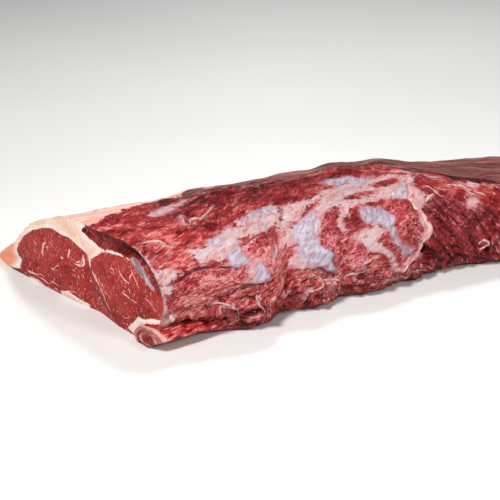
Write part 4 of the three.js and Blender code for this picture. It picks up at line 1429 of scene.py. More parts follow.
    def cut(self, edge: Array, count: int, swellings: tuple[Lump, ...], strip_depth: float, is_far: bool
            ) -> tuple[Array, Array]:
        """Builds a cut as rings from its edge to its middle.

        Args:
            edge: The side's last ring.
            count: The number of rings.
            swellings: The cut's own relief.
            strip_depth: How deep the shrunken strip lies.
            is_far: Whether this is the far cut.

        Returns:
            The rings' points, and their places across and up the cut.
        """
        skew = self.form.far_skew if is_far else self.form.near_skew
        outward = np.array([1, -skew, 0]) if is_far else np.array([-1, skew, 0])
        outward /= np.linalg.norm(outward)
        shares = 1 - (np.arange(1, count + 1) / (count + 0.5)) ** 1.15
        rings = edge.mean(0) + (edge - edge.mean(0)) * shares[:, None, None]
        across, up = self.cut_places(rings, is_far)
        rim = smooth(1, 0.9, shares)[:, None]
        sideways = rings[..., 1] - self.shift()[1] - self.form.skew_y
        relief = sum(swelling.at(sideways, rings[..., 2]) for swelling in swellings)
        strip = strip_depth * smooth(0.2, 3.2, CUT_MAP.depth(Tissue.DEEP_AND_SHADE, across, up))
        strip *= smooth(1, 0.97, shares)[:, None]
        strip *= 0.25 + 0.75 * smooth(82, 36, across)
        fat = smooth(-0.4, 1.0, CUT_MAP.depth(Tissue.FAT, across, up))
        fine = 0.35 * uneven(across / 5, up / 5, 61) + 0.5 * uneven(across / 14, up / 12, 62) + 0.5 * fat
        amount = (relief + fine) * rim - strip
        return rings + outward * amount[..., None], np.stack([across, up], -1)

    def write_side_fields(self, piece: bpy.types.Object, x: Array, girth: Array, start: int) -> None:
        """Writes the side's places, tissue depths, and masks of painted shade in creases and painted light
        and shade over lumps, flaps and bundles, on the side's points.
        """
        count = len(piece.data.vertices)

        def spread(values: Array, rest: float = -FAR_OFF) -> Array:
            column = np.full(count, rest)
            column[start:start + values.size] = values.ravel()
            return column

        bare = SIDE_MAP.depth(Tissue.BARE, x, girth)
        depth = {tissue: SIDE_MAP.depth(tissue, x, girth) for tissue in Tissue}
        depth[Tissue.FAT] = np.minimum(depth[Tissue.FAT], -bare)
        depth[Tissue.SILVER] = np.minimum(depth[Tissue.SILVER], -bare)
        write_field(piece, "place", [spread(x), spread(girth)])
        write_field(piece, "relief", [spread(self.creases(x, girth), 0), spread(self.swell(x, girth), 0)])
        groups = {"white": (Tissue.FAT, Tissue.SILVER, Tissue.WISP),
                  "skin": (Tissue.CAP, Tissue.DRIED, Tissue.DARK),
                  "flesh": (Tissue.FRESH, Tissue.GRAIN, Tissue.DEEP_AND_SHADE)}
        for name, tissues in groups.items():
            write_field(piece, name, [spread(depth[tissue]) for tissue in tissues])

    def write_cut_fields(self, piece: bpy.types.Object, near: Array, far: Array, sides: int, rings: int
                         ) -> None:
        """Writes the cuts' places and tissue depths on the cuts' points and their edges."""
        count = len(piece.data.vertices)
        places = np.zeros((count, 2))
        start = len(near) * sides
        end = start + rings * sides
        points = np.array([v.co for v in piece.data.vertices]) / MM
        near_edge, far_edge = slice(start, start + sides), slice(end - sides, end)
        places[:start] = near[::-1].reshape(-1, 2)
        places[near_edge] = np.stack(self.cut_places(points[near_edge], False), -1)
        places[far_edge] = np.stack(self.cut_places(points[far_edge], True), -1)
        places[end:end + far[..., 0].size] = far.reshape(-1, 2)
        places[-2], places[-1] = near[-1].mean(0), far[-1].mean(0)
        across, up = places.T
        is_cut = np.ones(count, bool)
        is_cut[start + sides:end - sides] = False

        def depth(tissue: Tissue) -> Array:
            column = np.full(count, -FAR_OFF)
            column[is_cut] = CUT_MAP.depth(tissue, across[is_cut], up[is_cut])
            return column

        write_field(piece, "cut_place", [across, up])
        write_field(piece, "cut_white", [depth(t) for t in (Tissue.FAT, Tissue.SILVER, Tissue.DARK)])
        write_field(piece, "cut_flesh", [depth(t) for t in (Tissue.DEEP_AND_SHADE, Tissue.FRESH)])


@dataclass(frozen=True)
class RolledMuscle:
    """The rolled muscle at the foot of the near cut, with grooves between its layers."""

    across: float = -4
    up: float = 8
    turn: float = 14
    width: float = 41
    height: float = 22
    length: float = 96
    proud: float = 5
    foot_turn: float = 35
    groove_depth: float = 1.6
    grooves: tuple[tuple[float, float], ...] = ((0.5, 0.035), (0.76, 0.03))
    taper: tuple[tuple[float, float], ...] = ((0, 1), (0.3, 1), (0.6, 0.84), (0.88, 0.48), (1, 0.02))
    sides: int = 120
    end_rings: int = 34
    side_rings: int = 40

    def profile(self) -> Array:
        """Radius and depth behind the end, from the middle of the end out and then along the side."""
        share = np.linspace(0.02, 1, self.end_rings)
        grooves = sum(np.exp(-(((share - where) / width) ** 2)) for where, width in self.grooves)
        dish = 1.2 * np.cos(share * math.pi * 4) + 2.6 * smooth(0.82, 1, share) ** 2
        end = np.stack([share, self.groove_depth * grooves + dish * 0.5 + 0.6], -1)
        along = np.linspace(0.03, 1, self.side_rings)
        taper = np.interp(along, *zip(*self.taper))
        return np.concatenate([end, np.stack([taper, end[-1, 1] + along * (self.length - end[-1, 1])], -1)])

    def build(self, form: RoastForm, shift: Array) -> bpy.types.Object:
        """Builds and dresses the muscle.

        Args:
            form: The roast's form, whose near cut the muscle's end follows.
            shift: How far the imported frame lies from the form's.

        Returns:
            The new piece.
        """
        profile = self.profile()
        angle = np.linspace(0, 2 * math.pi, self.sides, endpoint=False)[None, :]
        radius, depth = profile[:, :1], profile[:, 1:]
        wobble = 1 + 0.03 * np.sin(3 * angle + 5 * radius) + 0.02 * np.sin(7 * angle)
        y = radius * wobble * np.cos(angle) * self.width / 2
        z = radius * wobble * np.sin(angle) * self.height / 2
        a = math.radians(self.turn)
        y, z = y * math.cos(a) + z * math.sin(a), z * math.cos(a) - y * math.sin(a)
        across = self.across + y
        lift = 0.5 * uneven(across / 4, z / 4 + depth / 6, 71)
        x = form.near_x + form.near_skew * across - self.proud + depth + lift * 0.6
        slope = math.tan(math.radians(self.foot_turn)) * np.maximum(self.across - across, 0)
        height = np.maximum(self.up + z + lift, np.maximum(0.0, slope))
        points = np.stack([x, form.skew_y + across, height], -1)
        rings = len(profile)
        low, high = box_of_roast()
        flat = np.concatenate([points.reshape(-1, 3), points[:1].mean(1), points[-1:].mean(1)]) + shift
        faces = capped_faces(rings, self.sides, flipped=True)
        piece = new_piece("rolled_muscle", np.clip(flat, low, high) * MM, faces, RollFinish().build())
        around = np.abs((np.broadcast_to(angle, (rings, self.sides)) / math.pi + 1) % 2 - 1)
        share = np.broadcast_to(radius, around.shape)
        columns = [np.append(c.ravel(), [c.ravel()[0], c.ravel()[-1]])
                   for c in (share, around, np.broadcast_to(depth, around.shape))]
        write_field(piece, "roll_place", columns)
        return piece


@dataclass(frozen=True)
class Strand:
    """A strand, tag or vein that lies on a surface along a path in millimetres."""

    kind: StrandKind
    half_width: float
    height: float
    path: tuple[Key, ...]


SIDE_STRANDS = (
    # the flaps along the front edge
    Strand(StrandKind.FLESH, 4.6, 3.0, ((-40, 54), (-38, 46), (-35, 38), (-30, 28), (-28, 20))),
    Strand(StrandKind.FLESH, 6.0, 4.0, ((-120, 8), (-110, 11), (-100, 17), (-90, 22), (-80, 25))),
    Strand(StrandKind.FLESH, 5.0, 3.6, ((-88, 42), (-80, 46), (-72, 44), (-65, 38), (-62, 30))),
    Strand(StrandKind.FAT, 0.8, 0.9, ((-86, 49), (-78, 52), (-70, 50), (-62, 44), (-58, 35))),
    Strand(StrandKind.FLESH, 2.6, 1.6, ((-66, 51), (-58, 56), (-48, 60), (-38, 61))),
    Strand(StrandKind.FLESH, 2.8, 1.8, ((0, 40), (10, 44), (20, 46), (30, 43))),
    Strand(StrandKind.FLESH, 3.0, 2.0, ((30, 34), (44, 38), (58, 36), (70, 30))),
    Strand(StrandKind.FLESH, 3.6, 2.2, ((112, 30), (124, 36), (136, 36), (146, 30))),
    Strand(StrandKind.FAT, 1.0, 1.2, ((-45, 54), (-44, 46), (-40, 38), (-35, 30))),
    Strand(StrandKind.FAT, 1.0, 1.0, ((17, 55), (25, 49), (27, 43), (21, 38), (13, 36), (12, 29))),
    # the cord of fat and its branch
    Strand(StrandKind.FAT, 3.0, 2.0, ((171, 138), (163, 128), (156, 118), (148, 106), (144, 96), (144, 90))),
    Strand(StrandKind.FAT, 2.8, 2.2, ((144, 95), (145, 86), (149, 76), (150, 68), (145, 60), (141, 55))),
    Strand(StrandKind.FAT, 1.5, 1.3, ((144, 60), (139, 52), (134, 48), (123, 44), (114, 37))),
    Strand(StrandKind.FAT, 1.2, 0.9, ((151, 92), (158, 97), (165, 100), (174, 104))),
    # thin strands; those over the far muscles also stand in for small wet glints there (painted highlight)
    Strand(StrandKind.FAT, 0.5, 0.5, ((170, 118), (175, 116), (178, 111), (181, 105))),
    Strand(StrandKind.FAT, 0.45, 0.5, ((178, 110), (180, 104), (185, 100))),
    Strand(StrandKind.FAT, 0.5, 0.5, ((180, 113), (186, 107), (192, 103))),
    Strand(StrandKind.FAT, 0.55, 0.5, ((192, 109), (198, 106), (205, 104))),
    Strand(StrandKind.FAT, 0.8, 0.6, ((209, 114), (213, 110), (219, 106))),
    Strand(StrandKind.FAT, 0.45, 0.5, ((204, 102), (208, 97), (210, 94))),
    Strand(StrandKind.FAT, 0.5, 0.5, ((212, 104), (216, 100), (218, 96))),
    Strand(StrandKind.FAT, 0.6, 0.5, ((220, 104), (225, 99), (230, 96))),
    Strand(StrandKind.FAT, 0.9, 0.9, ((-48, 151), (-37, 158), (-28, 165), (-22, 171))),
    Strand(StrandKind.FAT, 0.7, 0.8, ((-62, 145), (-57, 152), (-51, 154), (-48, 150))),
    Strand(StrandKind.FAT, 0.7, 0.8, ((-55, 169), (-60, 158), (-66, 147))),
    Strand(StrandKind.FAT, 0.9, 0.9, ((-115, 126), (-108, 126), (-102, 124), (-99, 117))),
    Strand(StrandKind.FAT, 0.9, 0.8, ((24, 47), (36, 45), (52, 41), (65, 42), (78, 46))),
    Strand(StrandKind.FAT, 0.8, 0.7, ((72, 51), (80, 55), (89, 57))),
    Strand(StrandKind.FAT, 2.2, 1.8, ((-117, 48), (-112, 41))),
    Strand(StrandKind.FAT, 1.2, 1.0, ((206, 45), (209, 48), (216, 46), (213, 41), (208, 37))),
    Strand(StrandKind.FAT, 0.8, 0.8, ((112, 22), (126, 26), (146, 26), (168, 21))),
    # tufts on the edge of the fat cap
    Strand(StrandKind.FAT, 3.2, 3.4, ((-124, 268), (-120, 270), (-114, 269))),
    Strand(StrandKind.FAT, 2.6, 3.0, ((-124, 281), (-119, 282), (-113, 280))),
    Strand(StrandKind.FAT, 3.4, 3.6, ((-124, 295), (-119, 296), (-112, 294))),
    Strand(StrandKind.FAT, 1.6, 2.2, ((-112, 262), (-106, 258), (-100, 258))),
    Strand(StrandKind.FAT, 1.3, 1.8, ((-84, 246), (-78, 243), (-73, 244))),
    Strand(StrandKind.FAT, 1.2, 1.8, ((-40, 236), (-34, 234), (-30, 235))),
    Strand(StrandKind.FAT, 1.1, 1.6, ((4, 226), (10, 224), (14, 225))),
)

CUT_STRANDS = (
    # marbling of the eye
    Strand(StrandKind.VEIN, 1.3, 0.4, ((141, 51), (145, 46), (147, 40), (146, 31))),
    Strand(StrandKind.VEIN, 1.5, 0.5, ((106, 55), (107, 50), (108, 43))),
    Strand(StrandKind.VEIN, 1.3, 0.45, ((86, 54), (85, 48), (87, 44), (92, 42), (100, 43))),
    Strand(StrandKind.VEIN, 1.7, 0.5, ((99, 37), (101, 34))),
    Strand(StrandKind.VEIN, 1.8, 0.5, ((131, 28), (132, 25))),
    Strand(StrandKind.VEIN, 1.5, 0.5, ((78, 33), (79, 30))),
    Strand(StrandKind.VEIN, 1.8, 0.5, ((139, 45), (142, 43))),
    Strand(StrandKind.VEIN, 1.5, 0.5, ((120, 41), (114, 42))),
    Strand(StrandKind.VEIN, 1.1, 0.4, ((180, 8), (171, 8), (162, 9), (149, 12), (147, 7))),
    Strand(StrandKind.VEIN, 0.6, 0.3, ((139, 12), (132, 10), (124, 7))),
    Strand(StrandKind.VEIN, 0.7, 0.3, ((133, 5), (129, 1))),
    Strand(StrandKind.VEIN, 0.7, 0.35, ((179, 5), (167, 7), (150, 8), (141, 6), (134, 11), (128, 17))),
    Strand(StrandKind.VEIN, 0.8, 0.35, ((88, 59), (86, 52), (91, 44), (98, 43))),
    Strand(StrandKind.VEIN, 0.8, 0.35, ((100, 46), (94, 45), (90, 49))),
    Strand(StrandKind.VEIN, 0.6, 0.3, ((119, 13), (111, 9), (101, 11), (93, 6))),
    Strand(StrandKind.VEIN, 0.7, 0.3, ((131, 23), (123, 32), (117, 30))),
    Strand(StrandKind.VEIN, 0.6, 0.3, ((76, 7), (66, 20), (62, 13))),
    Strand(StrandKind.VEIN, 0.5, 0.3, ((72, 50), (69, 44), (64, 34), (57, 20), (52, 6))),
    # marbling of the inner muscle
    Strand(StrandKind.VEIN, 0.7, 0.3, ((45, 59), (42, 57), (40, 54))),
    Strand(StrandKind.VEIN, 0.9, 0.3, ((38, 63), (33, 58), (27, 54), (22, 52), (17, 50))),
    Strand(StrandKind.VEIN, 0.8, 0.3, ((15, 66), (18, 61), (20, 58), (21, 52))),
    Strand(StrandKind.VEIN, 0.8, 0.3, ((33, 46), (29, 40), (24, 38), (18, 37), (11, 36), (8, 35))),
    Strand(StrandKind.VEIN, 0.42, 0.22, ((62, 35), (54, 29), (47, 28))),
    Strand(StrandKind.VEIN, 0.35, 0.22, ((-6, 55), (-6, 51))),
    Strand(StrandKind.VEIN, 0.35, 0.22, ((22, 45), (19, 43))),
    Strand(StrandKind.VEIN, 0.49, 0.22, ((64, 21), (66, 16), (67, 12), (65, 9))),
    Strand(StrandKind.VEIN, 0.35, 0.22, ((2, 46), (-4, 43))),
    Strand(StrandKind.VEIN, 0.6, 0.3, ((20, 66), (13, 59), (7, 50))),
    Strand(StrandKind.VEIN, 0.5, 0.3, ((38, 16), (31, 13), (24, 18))),
)


def smooth_path(path: Sequence[Key], step: float) -> Array:
    """Gives even points on a smooth curve through a path's points.

    Args:
        path: The path's points.
        step: How far apart the curve's points lie.

    Returns:
        The curve's points.
    """
    p = np.array([path[0], *path, path[-1]], float)
    curve = []
    for a, b, c, d in zip(p, p[1:], p[2:], p[3:]):
        count = max(2, round(float(np.linalg.norm(c - b)) / step))
        f = np.linspace(0, 1, count, endpoint=False)[:, None]
        square, cube = 2 * a - 5 * b + 4 * c - d, 3 * b - a - 3 * c + d
        curve.append(b + 0.5 * ((c - a) * f + square * f**2 + cube * f**3))
    return np.concatenate([*curve, p[-1:]])


@dataclass
class SweptMesh:
    """A mesh of strands, each swept over the surface that it lies on."""

    points: list[Array]
    faces: list[tuple[int, ...]]
    root_depth: float = 0.7
    sway: float = 0.6
    arch: tuple[float, ...] = (0, 20, 40, 60, 80, 100, 120, 140, 160, 180)

    def sweep(self, places: Array, normals: Array, strand: Strand, seed: int) -> None:
        """Adds a strand with a rounded back, thinning out to both ends.

        Args:
            places: Points on the surface, in millimetres.
            normals: The surface's normals there.
            strand: The strand's sizes.
            seed: The seed of its unevenness.
        """
        share = np.linspace(0, 1, len(places))
        along = np.gradient(places, axis=0)
        across = np.cross(normals, along)
        across /= np.linalg.norm(across, axis=1, keepdims=True)
        swell = np.clip(1 - (2 * share - 1) ** 2, 0.0, 1) ** 0.6 + 0.04
        swell = (swell * (1 + 0.35 * uneven(share * 7, share, seed)))[:, None]
        arch = np.radians(self.arch)
        wide = np.concatenate([np.cos(arch), [-0.7, 0.7]]) * strand.half_width
        rise = strand.height + self.root_depth
        high = np.concatenate([np.sin(arch) * rise, [-0.6, -0.6]])
        row, column = np.meshgrid(np.arange(len(places)), np.arange(len(wide)), indexing="ij")
        torn = 1 + 0.14 * uneven(row / 5, column / 2.2, seed + 40)
        sway = across * (self.sway * strand.half_width * uneven(share * 9, share, seed + 80))[:, None]
        ring = (across[:, None, :] * (wide * swell * torn)[..., None] + sway[:, None, :]
                + normals[:, None, :] * (high * swell * torn - self.root_depth)[..., None])
        start = sum(len(part) for part in self.points)
        rows, sides = len(places), len(wide)
        self.points.append((places[:, None, :] + ring).reshape(-1, 3))
        self.faces += ring_faces(rows, sides, start)
        self.faces.append(tuple(start + k for k in range(sides)))
        self.faces.append(tuple(start + (rows - 1) * sides + k for k in reversed(range(sides))))


@dataclass
class SurfaceStrands:
    """Strands, tags and marbling that lie on the roast's body, one piece for each kind."""

    body: RoastBody
    piece: bpy.types.Object
    step: float = 1.2
    reach: float = 40

    @cached_property
    def side_grid(self) -> tuple[Array, Array, Array]:
        """The body's own grid over its side: lengths, girths and points in millimetres."""
        lengths, girths = self.body.lengths(), self.body.girths()
        points = np.array([v.co for v in self.piece.data.vertices]) / MM
        start = self.body.near_rings * len(girths)
        shape = (len(lengths), len(girths), 3)
        return lengths, girths, points[start:start + shape[0] * shape[1]].reshape(shape)

    def on_side(self, path: Array) -> tuple[Array, Array]:
        """Points and normals of the side along a path of lengths and girths."""
        lengths, girths, grid = self.side_grid
        i = np.interp(path[:, 0], lengths, np.arange(len(lengths)))
        j = np.interp(path[:, 1], girths, np.arange(len(girths)))

        def read(row: Array, column: Array) -> Array:
            row = np.clip(row, 0, len(lengths) - 1.001)
            column = np.clip(column, 0, len(girths) - 1.001)
            a, b = np.floor(row).astype(int), np.floor(column).astype(int)
            s, t = (row - a)[:, None], (column - b)[:, None]
            return ((grid[a, b] * (1 - s) + grid[a + 1, b] * s) * (1 - t)
                    + (grid[a, b + 1] * (1 - s) + grid[a + 1, b + 1] * s) * t)

        normal = np.cross(read(i + 1, j) - read(i - 1, j), read(i, j + 1) - read(i, j - 1))
        normal /= -np.linalg.norm(normal, axis=1, keepdims=True)
        return read(i, j), normal

    def on_cut(self, path: Array) -> tuple[Array, Array]:
        """Points and normals of the near cut along a path across and up it."""
        form, shift = self.body.form, self.body.shift()
        outward = Vector((-1, form.near_skew, 0)).normalized()
        spots, normals = [], []
        for across, up in path:
            y = across / math.hypot(1, form.near_skew)
            plane = Vector((form.near_x + form.near_skew * y, form.skew_y + y, up)) + Vector(shift)
            hit, spot, normal, _ = self.piece.ray_cast((plane + outward * self.reach) * MM, -outward)
            if hit:
                spots.append(np.array(spot) / MM)
                normals.append(np.array(normal))
        return np.array(spots), np.array(normals)

    def build(self) -> list[bpy.types.Object]:
        """Builds and dresses one piece for each kind of strand."""
        pieces = []
        for kind in StrandKind:
            mesh = SweptMesh([], [])
            for seed, strand in enumerate(SIDE_STRANDS + CUT_STRANDS):
                if strand.kind is kind:
                    path = smooth_path(strand.path, self.step)
                    places, normals = (self.on_side if strand in SIDE_STRANDS else self.on_cut)(path)
                    if len(places) > 2:
                        mesh.sweep(places, normals, strand, 100 + seed)
            low, high = box_of_roast()
            points = np.clip(np.concatenate(mesh.points), low, high) * MM
            pieces.append(new_piece(kind.value, points, mesh.faces, strand_material(kind)))
        return pieces


@dataclass(frozen=True)
class Slivers:
    """Small tapered slivers scattered over the body by Geometry Nodes, drawn out along its fibres."""

    name: str
    material: bpy.types.Material
    density: float
    length: float
    thickness: float
    lift: float
    spin: float
    seed: int
    facets: int = 5
    roll: float = 0.3
    arch: float = 0.14
    least_size: tuple[float, float, float] = (0.45, 0.6, 0.5)
    highest_size: tuple[float, float, float] = (1.5, 1.4, 1.1)

    def tree(self) -> bpy.types.GeometryNodeTree:
        """Builds the node tree that scatters the slivers.

        Returns:
            The tree, with its sizes as named inputs.
        """
        tree = bpy.data.node_groups.new(self.name, "GeometryNodeTree")
        ports = tree.interface
        ports.new_socket("Geometry", in_out="INPUT", socket_type="NodeSocketGeometry")
        for label in ("Density", "Length", "Thickness", "Lift", "Spin"):
            ports.new_socket(label, in_out="INPUT", socket_type="NodeSocketFloat")
        ports.new_socket("Seed", in_out="INPUT", socket_type="NodeSocketInt")
        ports.new_socket("Material", in_out="INPUT", socket_type="NodeSocketMaterial")
        ports.new_socket("Geometry", in_out="OUTPUT", socket_type="NodeSocketGeometry")

        def node(kind: str, feeds: dict[int | str, object], **settings: object) -> bpy.types.Node:
            new = tree.nodes.new(kind)
            for key, setting in settings.items():
                setattr(new, key, setting)
            for key, value in feeds.items():
                if isinstance(value, bpy.types.NodeSocket):
                    tree.links.new(value, new.inputs[key])
                else:
                    new.inputs[key].default_value = value
            return new

        def maths(operation: str, *values: object) -> Socket:
            return node("ShaderNodeMath", dict(enumerate(values)), operation=operation).outputs[0]

        given = node("NodeGroupInput", {}).outputs
        def attribute(label: str, kind: str) -> Socket:
            return node("GeometryNodeInputNamedAttribute", {"Name": label}, data_type=kind).outputs[0]

        def vector(**axes: object) -> Socket:
            feeds = {"XYZ".index(axis): value for axis, value in axes.items()}
            return node("ShaderNodeCombineXYZ", feeds).outputs[0]

        def drawn(least: object, highest: object) -> Socket:
            feeds = {0: least, 1: highest, "Seed": given["Seed"]}
            return node("FunctionNodeRandomValue", feeds, data_type="FLOAT_VECTOR").outputs[0]

        share, way = attribute("sliver_share", "FLOAT"), attribute("fibre_way", "FLOAT_VECTOR")
        feeds = {"Mesh": given["Geometry"], "Density": maths("MULTIPLY", share, given["Density"]),
                 "Seed": given["Seed"]}
        scatter = node("GeometryNodeDistributePointsOnFaces", feeds)
        upright = node("FunctionNodeAxesToRotation", {0: scatter.outputs["Normal"], 1: way},
                       primary_axis="Z", secondary_axis="X").outputs[0]
        backward = maths("MULTIPLY", given["Spin"], -1.0)
        down = maths("MULTIPLY", given["Lift"], -1.0)
        low = vector(X=-self.roll, Y=down, Z=backward)
        high = vector(X=self.roll, Y=0.0, Z=given["Spin"])
        turn = node("FunctionNodeEulerToRotation", {0: drawn(low, high)}).outputs[0]
        turned = node("FunctionNodeRotateRotation", {0: upright, 1: turn}, rotation_space="LOCAL").outputs[0]
        size = drawn(self.least_size, self.highest_size)
        half = maths("MULTIPLY", given["Length"], 0.5)
        feeds = {"Resolution": 5, "Start": vector(X=maths("MULTIPLY", half, -1.0)),
                 "Middle": vector(Z=maths("MULTIPLY", given["Length"], self.arch)), "End": vector(X=half)}
        spine = node("GeometryNodeCurveQuadraticBezier", feeds)
        factor = node("GeometryNodeSplineParameter", {}).outputs["Factor"]
        bulge = maths("SINE", maths("MULTIPLY_ADD", factor, 2.9, 0.12))
        radius = maths("MULTIPLY", bulge, given["Thickness"])
        tapered = node("GeometryNodeSetCurveRadius", {"Curve": spine.outputs[0], "Radius": radius}).outputs[0]
        ring = node("GeometryNodeCurvePrimitiveCircle", {"Resolution": self.facets, "Radius": 1.0}).outputs[0]
        feeds = {"Curve": tapered, "Profile Curve": ring, "Fill Caps": True}
        swept = node("GeometryNodeCurveToMesh", feeds)
        if "Scale" in swept.inputs:
            tree.links.new(radius, swept.inputs["Scale"])
        feeds = {"Points": scatter.outputs["Points"], "Instance": swept.outputs[0], "Rotation": turned,
                 "Scale": size}
        placed = node("GeometryNodeInstanceOnPoints", feeds)
        solid = node("GeometryNodeRealizeInstances", {0: placed.outputs[0]}).outputs[0]
        soft = node("GeometryNodeSetShadeSmooth", {0: solid}).outputs[0]
        dressed = node("GeometryNodeSetMaterial", {0: soft, "Material": given["Material"]}).outputs[0]
        node("NodeGroupOutput", {0: dressed})
        return tree

    def build(self, body: bpy.types.Object, share: Array, way: Array) -> bpy.types.Object:
        """Scatters the slivers over a body.

        Args:
            body: The piece that they lie on.
            share: How thickly they lie at each of its points, from 0 to 1.
            way: The fibres' direction at each of its points.

        Returns:
            The new piece, a plain mesh.
        """
        host = bpy.data.objects.new("sliver_host", body.data.copy())
        bpy.context.scene.collection.objects.link(host)
        shares = host.data.attributes.new("sliver_share", "FLOAT", "POINT")
        shares.data.foreach_set("value", share.astype(np.float32))
        write_field(host, "fibre_way", way.T)
        modifier = host.modifiers.new(self.name, "NODES")
        modifier.node_group = self.tree()
        values = {"Density": self.density, "Length": self.length * MM, "Thickness": self.thickness * MM,
                  "Lift": self.lift, "Spin": self.spin, "Seed": self.seed, "Material": self.material}
        for item in modifier.node_group.interface.items_tree:
            if item.in_out == "INPUT" and item.name in values:
                modifier[item.identifier] = values[item.name]
        view = host.evaluated_get(bpy.context.evaluated_depsgraph_get())
        mesh = bpy.data.meshes.new_from_object(view)
        bpy.data.objects.remove(host)
        low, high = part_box("roast")
        points = np.zeros(len(mesh.vertices) * 3, np.float32)
        mesh.vertices.foreach_get("co", points)
        points = np.clip(points.reshape(-1, 3), np.array(low), np.array(high))
        mesh.vertices.foreach_set("co", points.astype(np.float32).ravel())
        mesh.name = self.name
        piece = bpy.data.objects.new(self.name, mesh)
        bpy.context.scene.collection.objects.link(piece)
        return piece


@dataclass(frozen=True)
class Lamp:
    """A soft area light, by its direction from the roast, in degrees."""

    name: str
    azimuth: float
    elevation: float
    distance: float
    size: float
    watts: float
    tint: Rgb = (1.0, 1.0, 1.0)


@dataclass(frozen=True)
class Studio:
    """The pale floor, the soft lights and the camera."""

    floor_size: float = 6.0
    floor_tint: Rgb = paint(236, 236, 234)
    sky_tint: Rgb = (1.0, 1.0, 1.0)
    sky_strength: float = 0.12
    lamps: tuple[Lamp, ...] = (
        Lamp("key_light", -50, 50, 1.5, 0.26, 18.4, (1.0, 0.985, 0.97)),
        Lamp("top_light", 140, 66, 1.6, 0.34, 12.5),
        Lamp("fill_light", 20, 34, 1.8, 0.34, 10.0))
    lens: float = 72.0
    sensor: float = 36.0
    camera_azimuth: float = -30
    camera_elevation: float = 27
    camera_distance: float = 925.93
    target: tuple[float, float, float] = (0.0, 0.0, 40.0)

    @staticmethod
    def direction(azimuth: float, elevation: float) -> Vector:
        """The unit vector towards an azimuth (0 in front, along -Y) and an elevation."""
        a, e = math.radians(azimuth), math.radians(elevation)
        return Vector((math.sin(a) * math.cos(e), -math.cos(a) * math.cos(e), math.sin(e)))

    def build(self, shift: Array) -> None:
        """Builds the studio around the roast.

        Args:
            shift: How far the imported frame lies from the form's, in millimetres.
        """
        self.build_floor()
        for lamp in self.lamps:
            self.build_lamp(lamp, Vector(self.target) * MM)
        world = bpy.data.worlds.new("studio_sky")
        world.use_nodes = True
        background = world.node_tree.nodes["Background"]
        background.inputs["Color"].default_value = (*self.sky_tint, 1)
        background.inputs["Strength"].default_value = self.sky_strength
        bpy.context.scene.world = world
        self.build_camera((Vector(self.target) + Vector(shift)) * MM)
        bpy.context.scene.view_settings.view_transform = "Standard"

    def build_floor(self) -> None:
        """Lays the pale floor that the roast rests on."""
        g = Graph("pale_floor")
        spot = g.node("ShaderNodeTexCoord", {}).outputs["Object"]
        clouds = g.grain(spot, 0.5, 0.5, 0, 91, 2)
        shade = g.mix(g.step(clouds, -2, 2), self.floor_tint, paint(228, 228, 227))
        material = g.dress(shade, 0.7, 0.0, 0.0)
        half = self.floor_size / 2
        corners = np.array([(-half, -half, 0), (half, -half, 0), (half, half, 0), (-half, half, 0)], float)
        corners[:, 2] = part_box("roast")[0].z - UNDER_FLOOR
        new_piece("studio_floor", corners, [(0, 1, 2, 3)], material)

    def build_lamp(self, lamp: Lamp, middle: Vector) -> None:
        """Hangs a soft light that faces the roast."""
        light = bpy.data.lights.new(lamp.name, "AREA")
        light.shape, light.size, light.energy, light.color = "DISK", lamp.size, lamp.watts, lamp.tint
        lantern = bpy.data.objects.new(lamp.name, light)
        towards = self.direction(lamp.azimuth, lamp.elevation)
        lantern.location = middle + towards * lamp.distance
        lantern.rotation_euler = (-towards).to_track_quat("-Z", "Y").to_euler()
        bpy.context.scene.collection.objects.link(lantern)

    def build_camera(self, target: Vector) -> None:
        """Puts the camera where it sees the near cut, the boned side and the front edge."""
        data = bpy.data.cameras.new("camera")
        data.lens, data.sensor_width = self.lens, self.sensor
        camera = bpy.data.objects.new("camera", data)
        towards = self.direction(self.camera_azimuth, self.camera_elevation)
        camera.location = target + towards * self.camera_distance * MM
        camera.rotation_euler = (-towards).to_track_quat("-Z", "Y").to_euler()
        bpy.context.scene.collection.objects.link(camera)
        bpy.context.scene.camera = camera


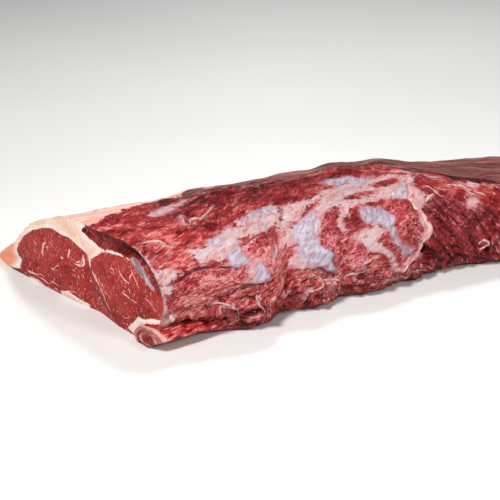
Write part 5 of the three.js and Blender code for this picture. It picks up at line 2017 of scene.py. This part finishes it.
def scatter_slivers(body: RoastBody, piece: bpy.types.Object) -> list[bpy.types.Object]:
    """Scatters torn shreds over the side and flecks of marbling over the near cut.

    Args:
        body: The body's sizes.
        piece: The body's piece.

    Returns:
        The new pieces.
    """
    lengths, girths, grid = SurfaceStrands(body, piece).side_grid
    count = len(piece.data.vertices)
    start = body.near_rings * len(girths)
    x, girth = np.meshgrid(lengths, girths, indexing="ij")
    along, round_it = np.gradient(grid, axis=0), np.gradient(grid, axis=1)
    along /= np.linalg.norm(along, axis=-1, keepdims=True)
    round_it /= np.linalg.norm(round_it, axis=-1, keepdims=True)
    near_turn = np.where(girth < LOWER_FRONT_MIDDLE, LOWER_TURN, UPPER_TURN)
    turn = np.radians(np.where(x > FAR_MUSCLES_MIDDLE, FAR_TURN, near_turn))[..., None]
    side_way = along * np.cos(turn) + round_it * np.sin(turn)
    skin = deepest(SIDE_MAP, x, girth, Tissue.FAT, Tissue.SILVER, Tissue.CAP, Tissue.DRIED)
    torn = smooth(1, -3, skin) * smooth(4, 14, girth) * smooth(-124, -112, x)
    way = np.tile([0.0, 0.0, 1.0], (count, 1))
    way[start:start + x.size] = side_way.reshape(-1, 3)
    shreds = np.zeros(count)
    low = (0.35 + 0.65 * smooth(90, 50, girth)) * (1 - 0.7 * smooth(140, 160, x) * smooth(30, 60, girth))
    shreds[start:start + x.size] = (torn * low).ravel()
    pale, red = strand_material(StrandKind.VEIN), strand_material(StrandKind.FLESH)
    torn_shreds = Slivers("torn_shreds", red, density=22000, length=5.0, thickness=0.42,
                          lift=0.5, spin=0.5, seed=81)
    pale_shreds = Slivers("pale_shreds", pale, density=7000, length=3.6, thickness=0.17,
                          lift=0.25, spin=0.6, seed=82)
    specks = Slivers("marbling_flecks", pale, density=20000, length=2.0, thickness=0.28,
                     lift=0.05, spin=0.7, seed=83)
    pieces = [kind.build(piece, shreds, way) for kind in (torn_shreds, pale_shreds)]
    values = np.zeros(count * 3, np.float32)
    piece.data.attributes["cut_place"].data.foreach_get("vector", values)
    across, up = values.reshape(-1, 3)[:, 0], values.reshape(-1, 3)[:, 1]
    lean = smooth(1.0, -2.0, deepest(CUT_MAP, across, up, Tissue.FAT, Tissue.DEEP_AND_SHADE))
    lean = lean * (1 - 0.6 * smooth(50, 84, up))
    flecks = np.zeros(count)
    flecks[:start] = lean[:start]
    return [*pieces, specks.build(piece, flecks, way)]


def main() -> None:
    """Builds the roast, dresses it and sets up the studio."""
    logging.basicConfig(level=logging.INFO, format="%(name)s %(message)s")
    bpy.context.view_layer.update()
    body = RoastBody()
    shift = body.shift()
    LOG.info("form lies at %s mm", np.round(shift, 2))
    roast = body.build()
    fit_in_piece(roast, "root")
    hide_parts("roast")
    for piece in [RolledMuscle().build(body.form, shift), *SurfaceStrands(body, roast).build(),
                  *scatter_slivers(body, roast)]:
        fit_in_piece(piece, "root")
    Studio().build(shift)


if __name__ == "__main__":
    main()
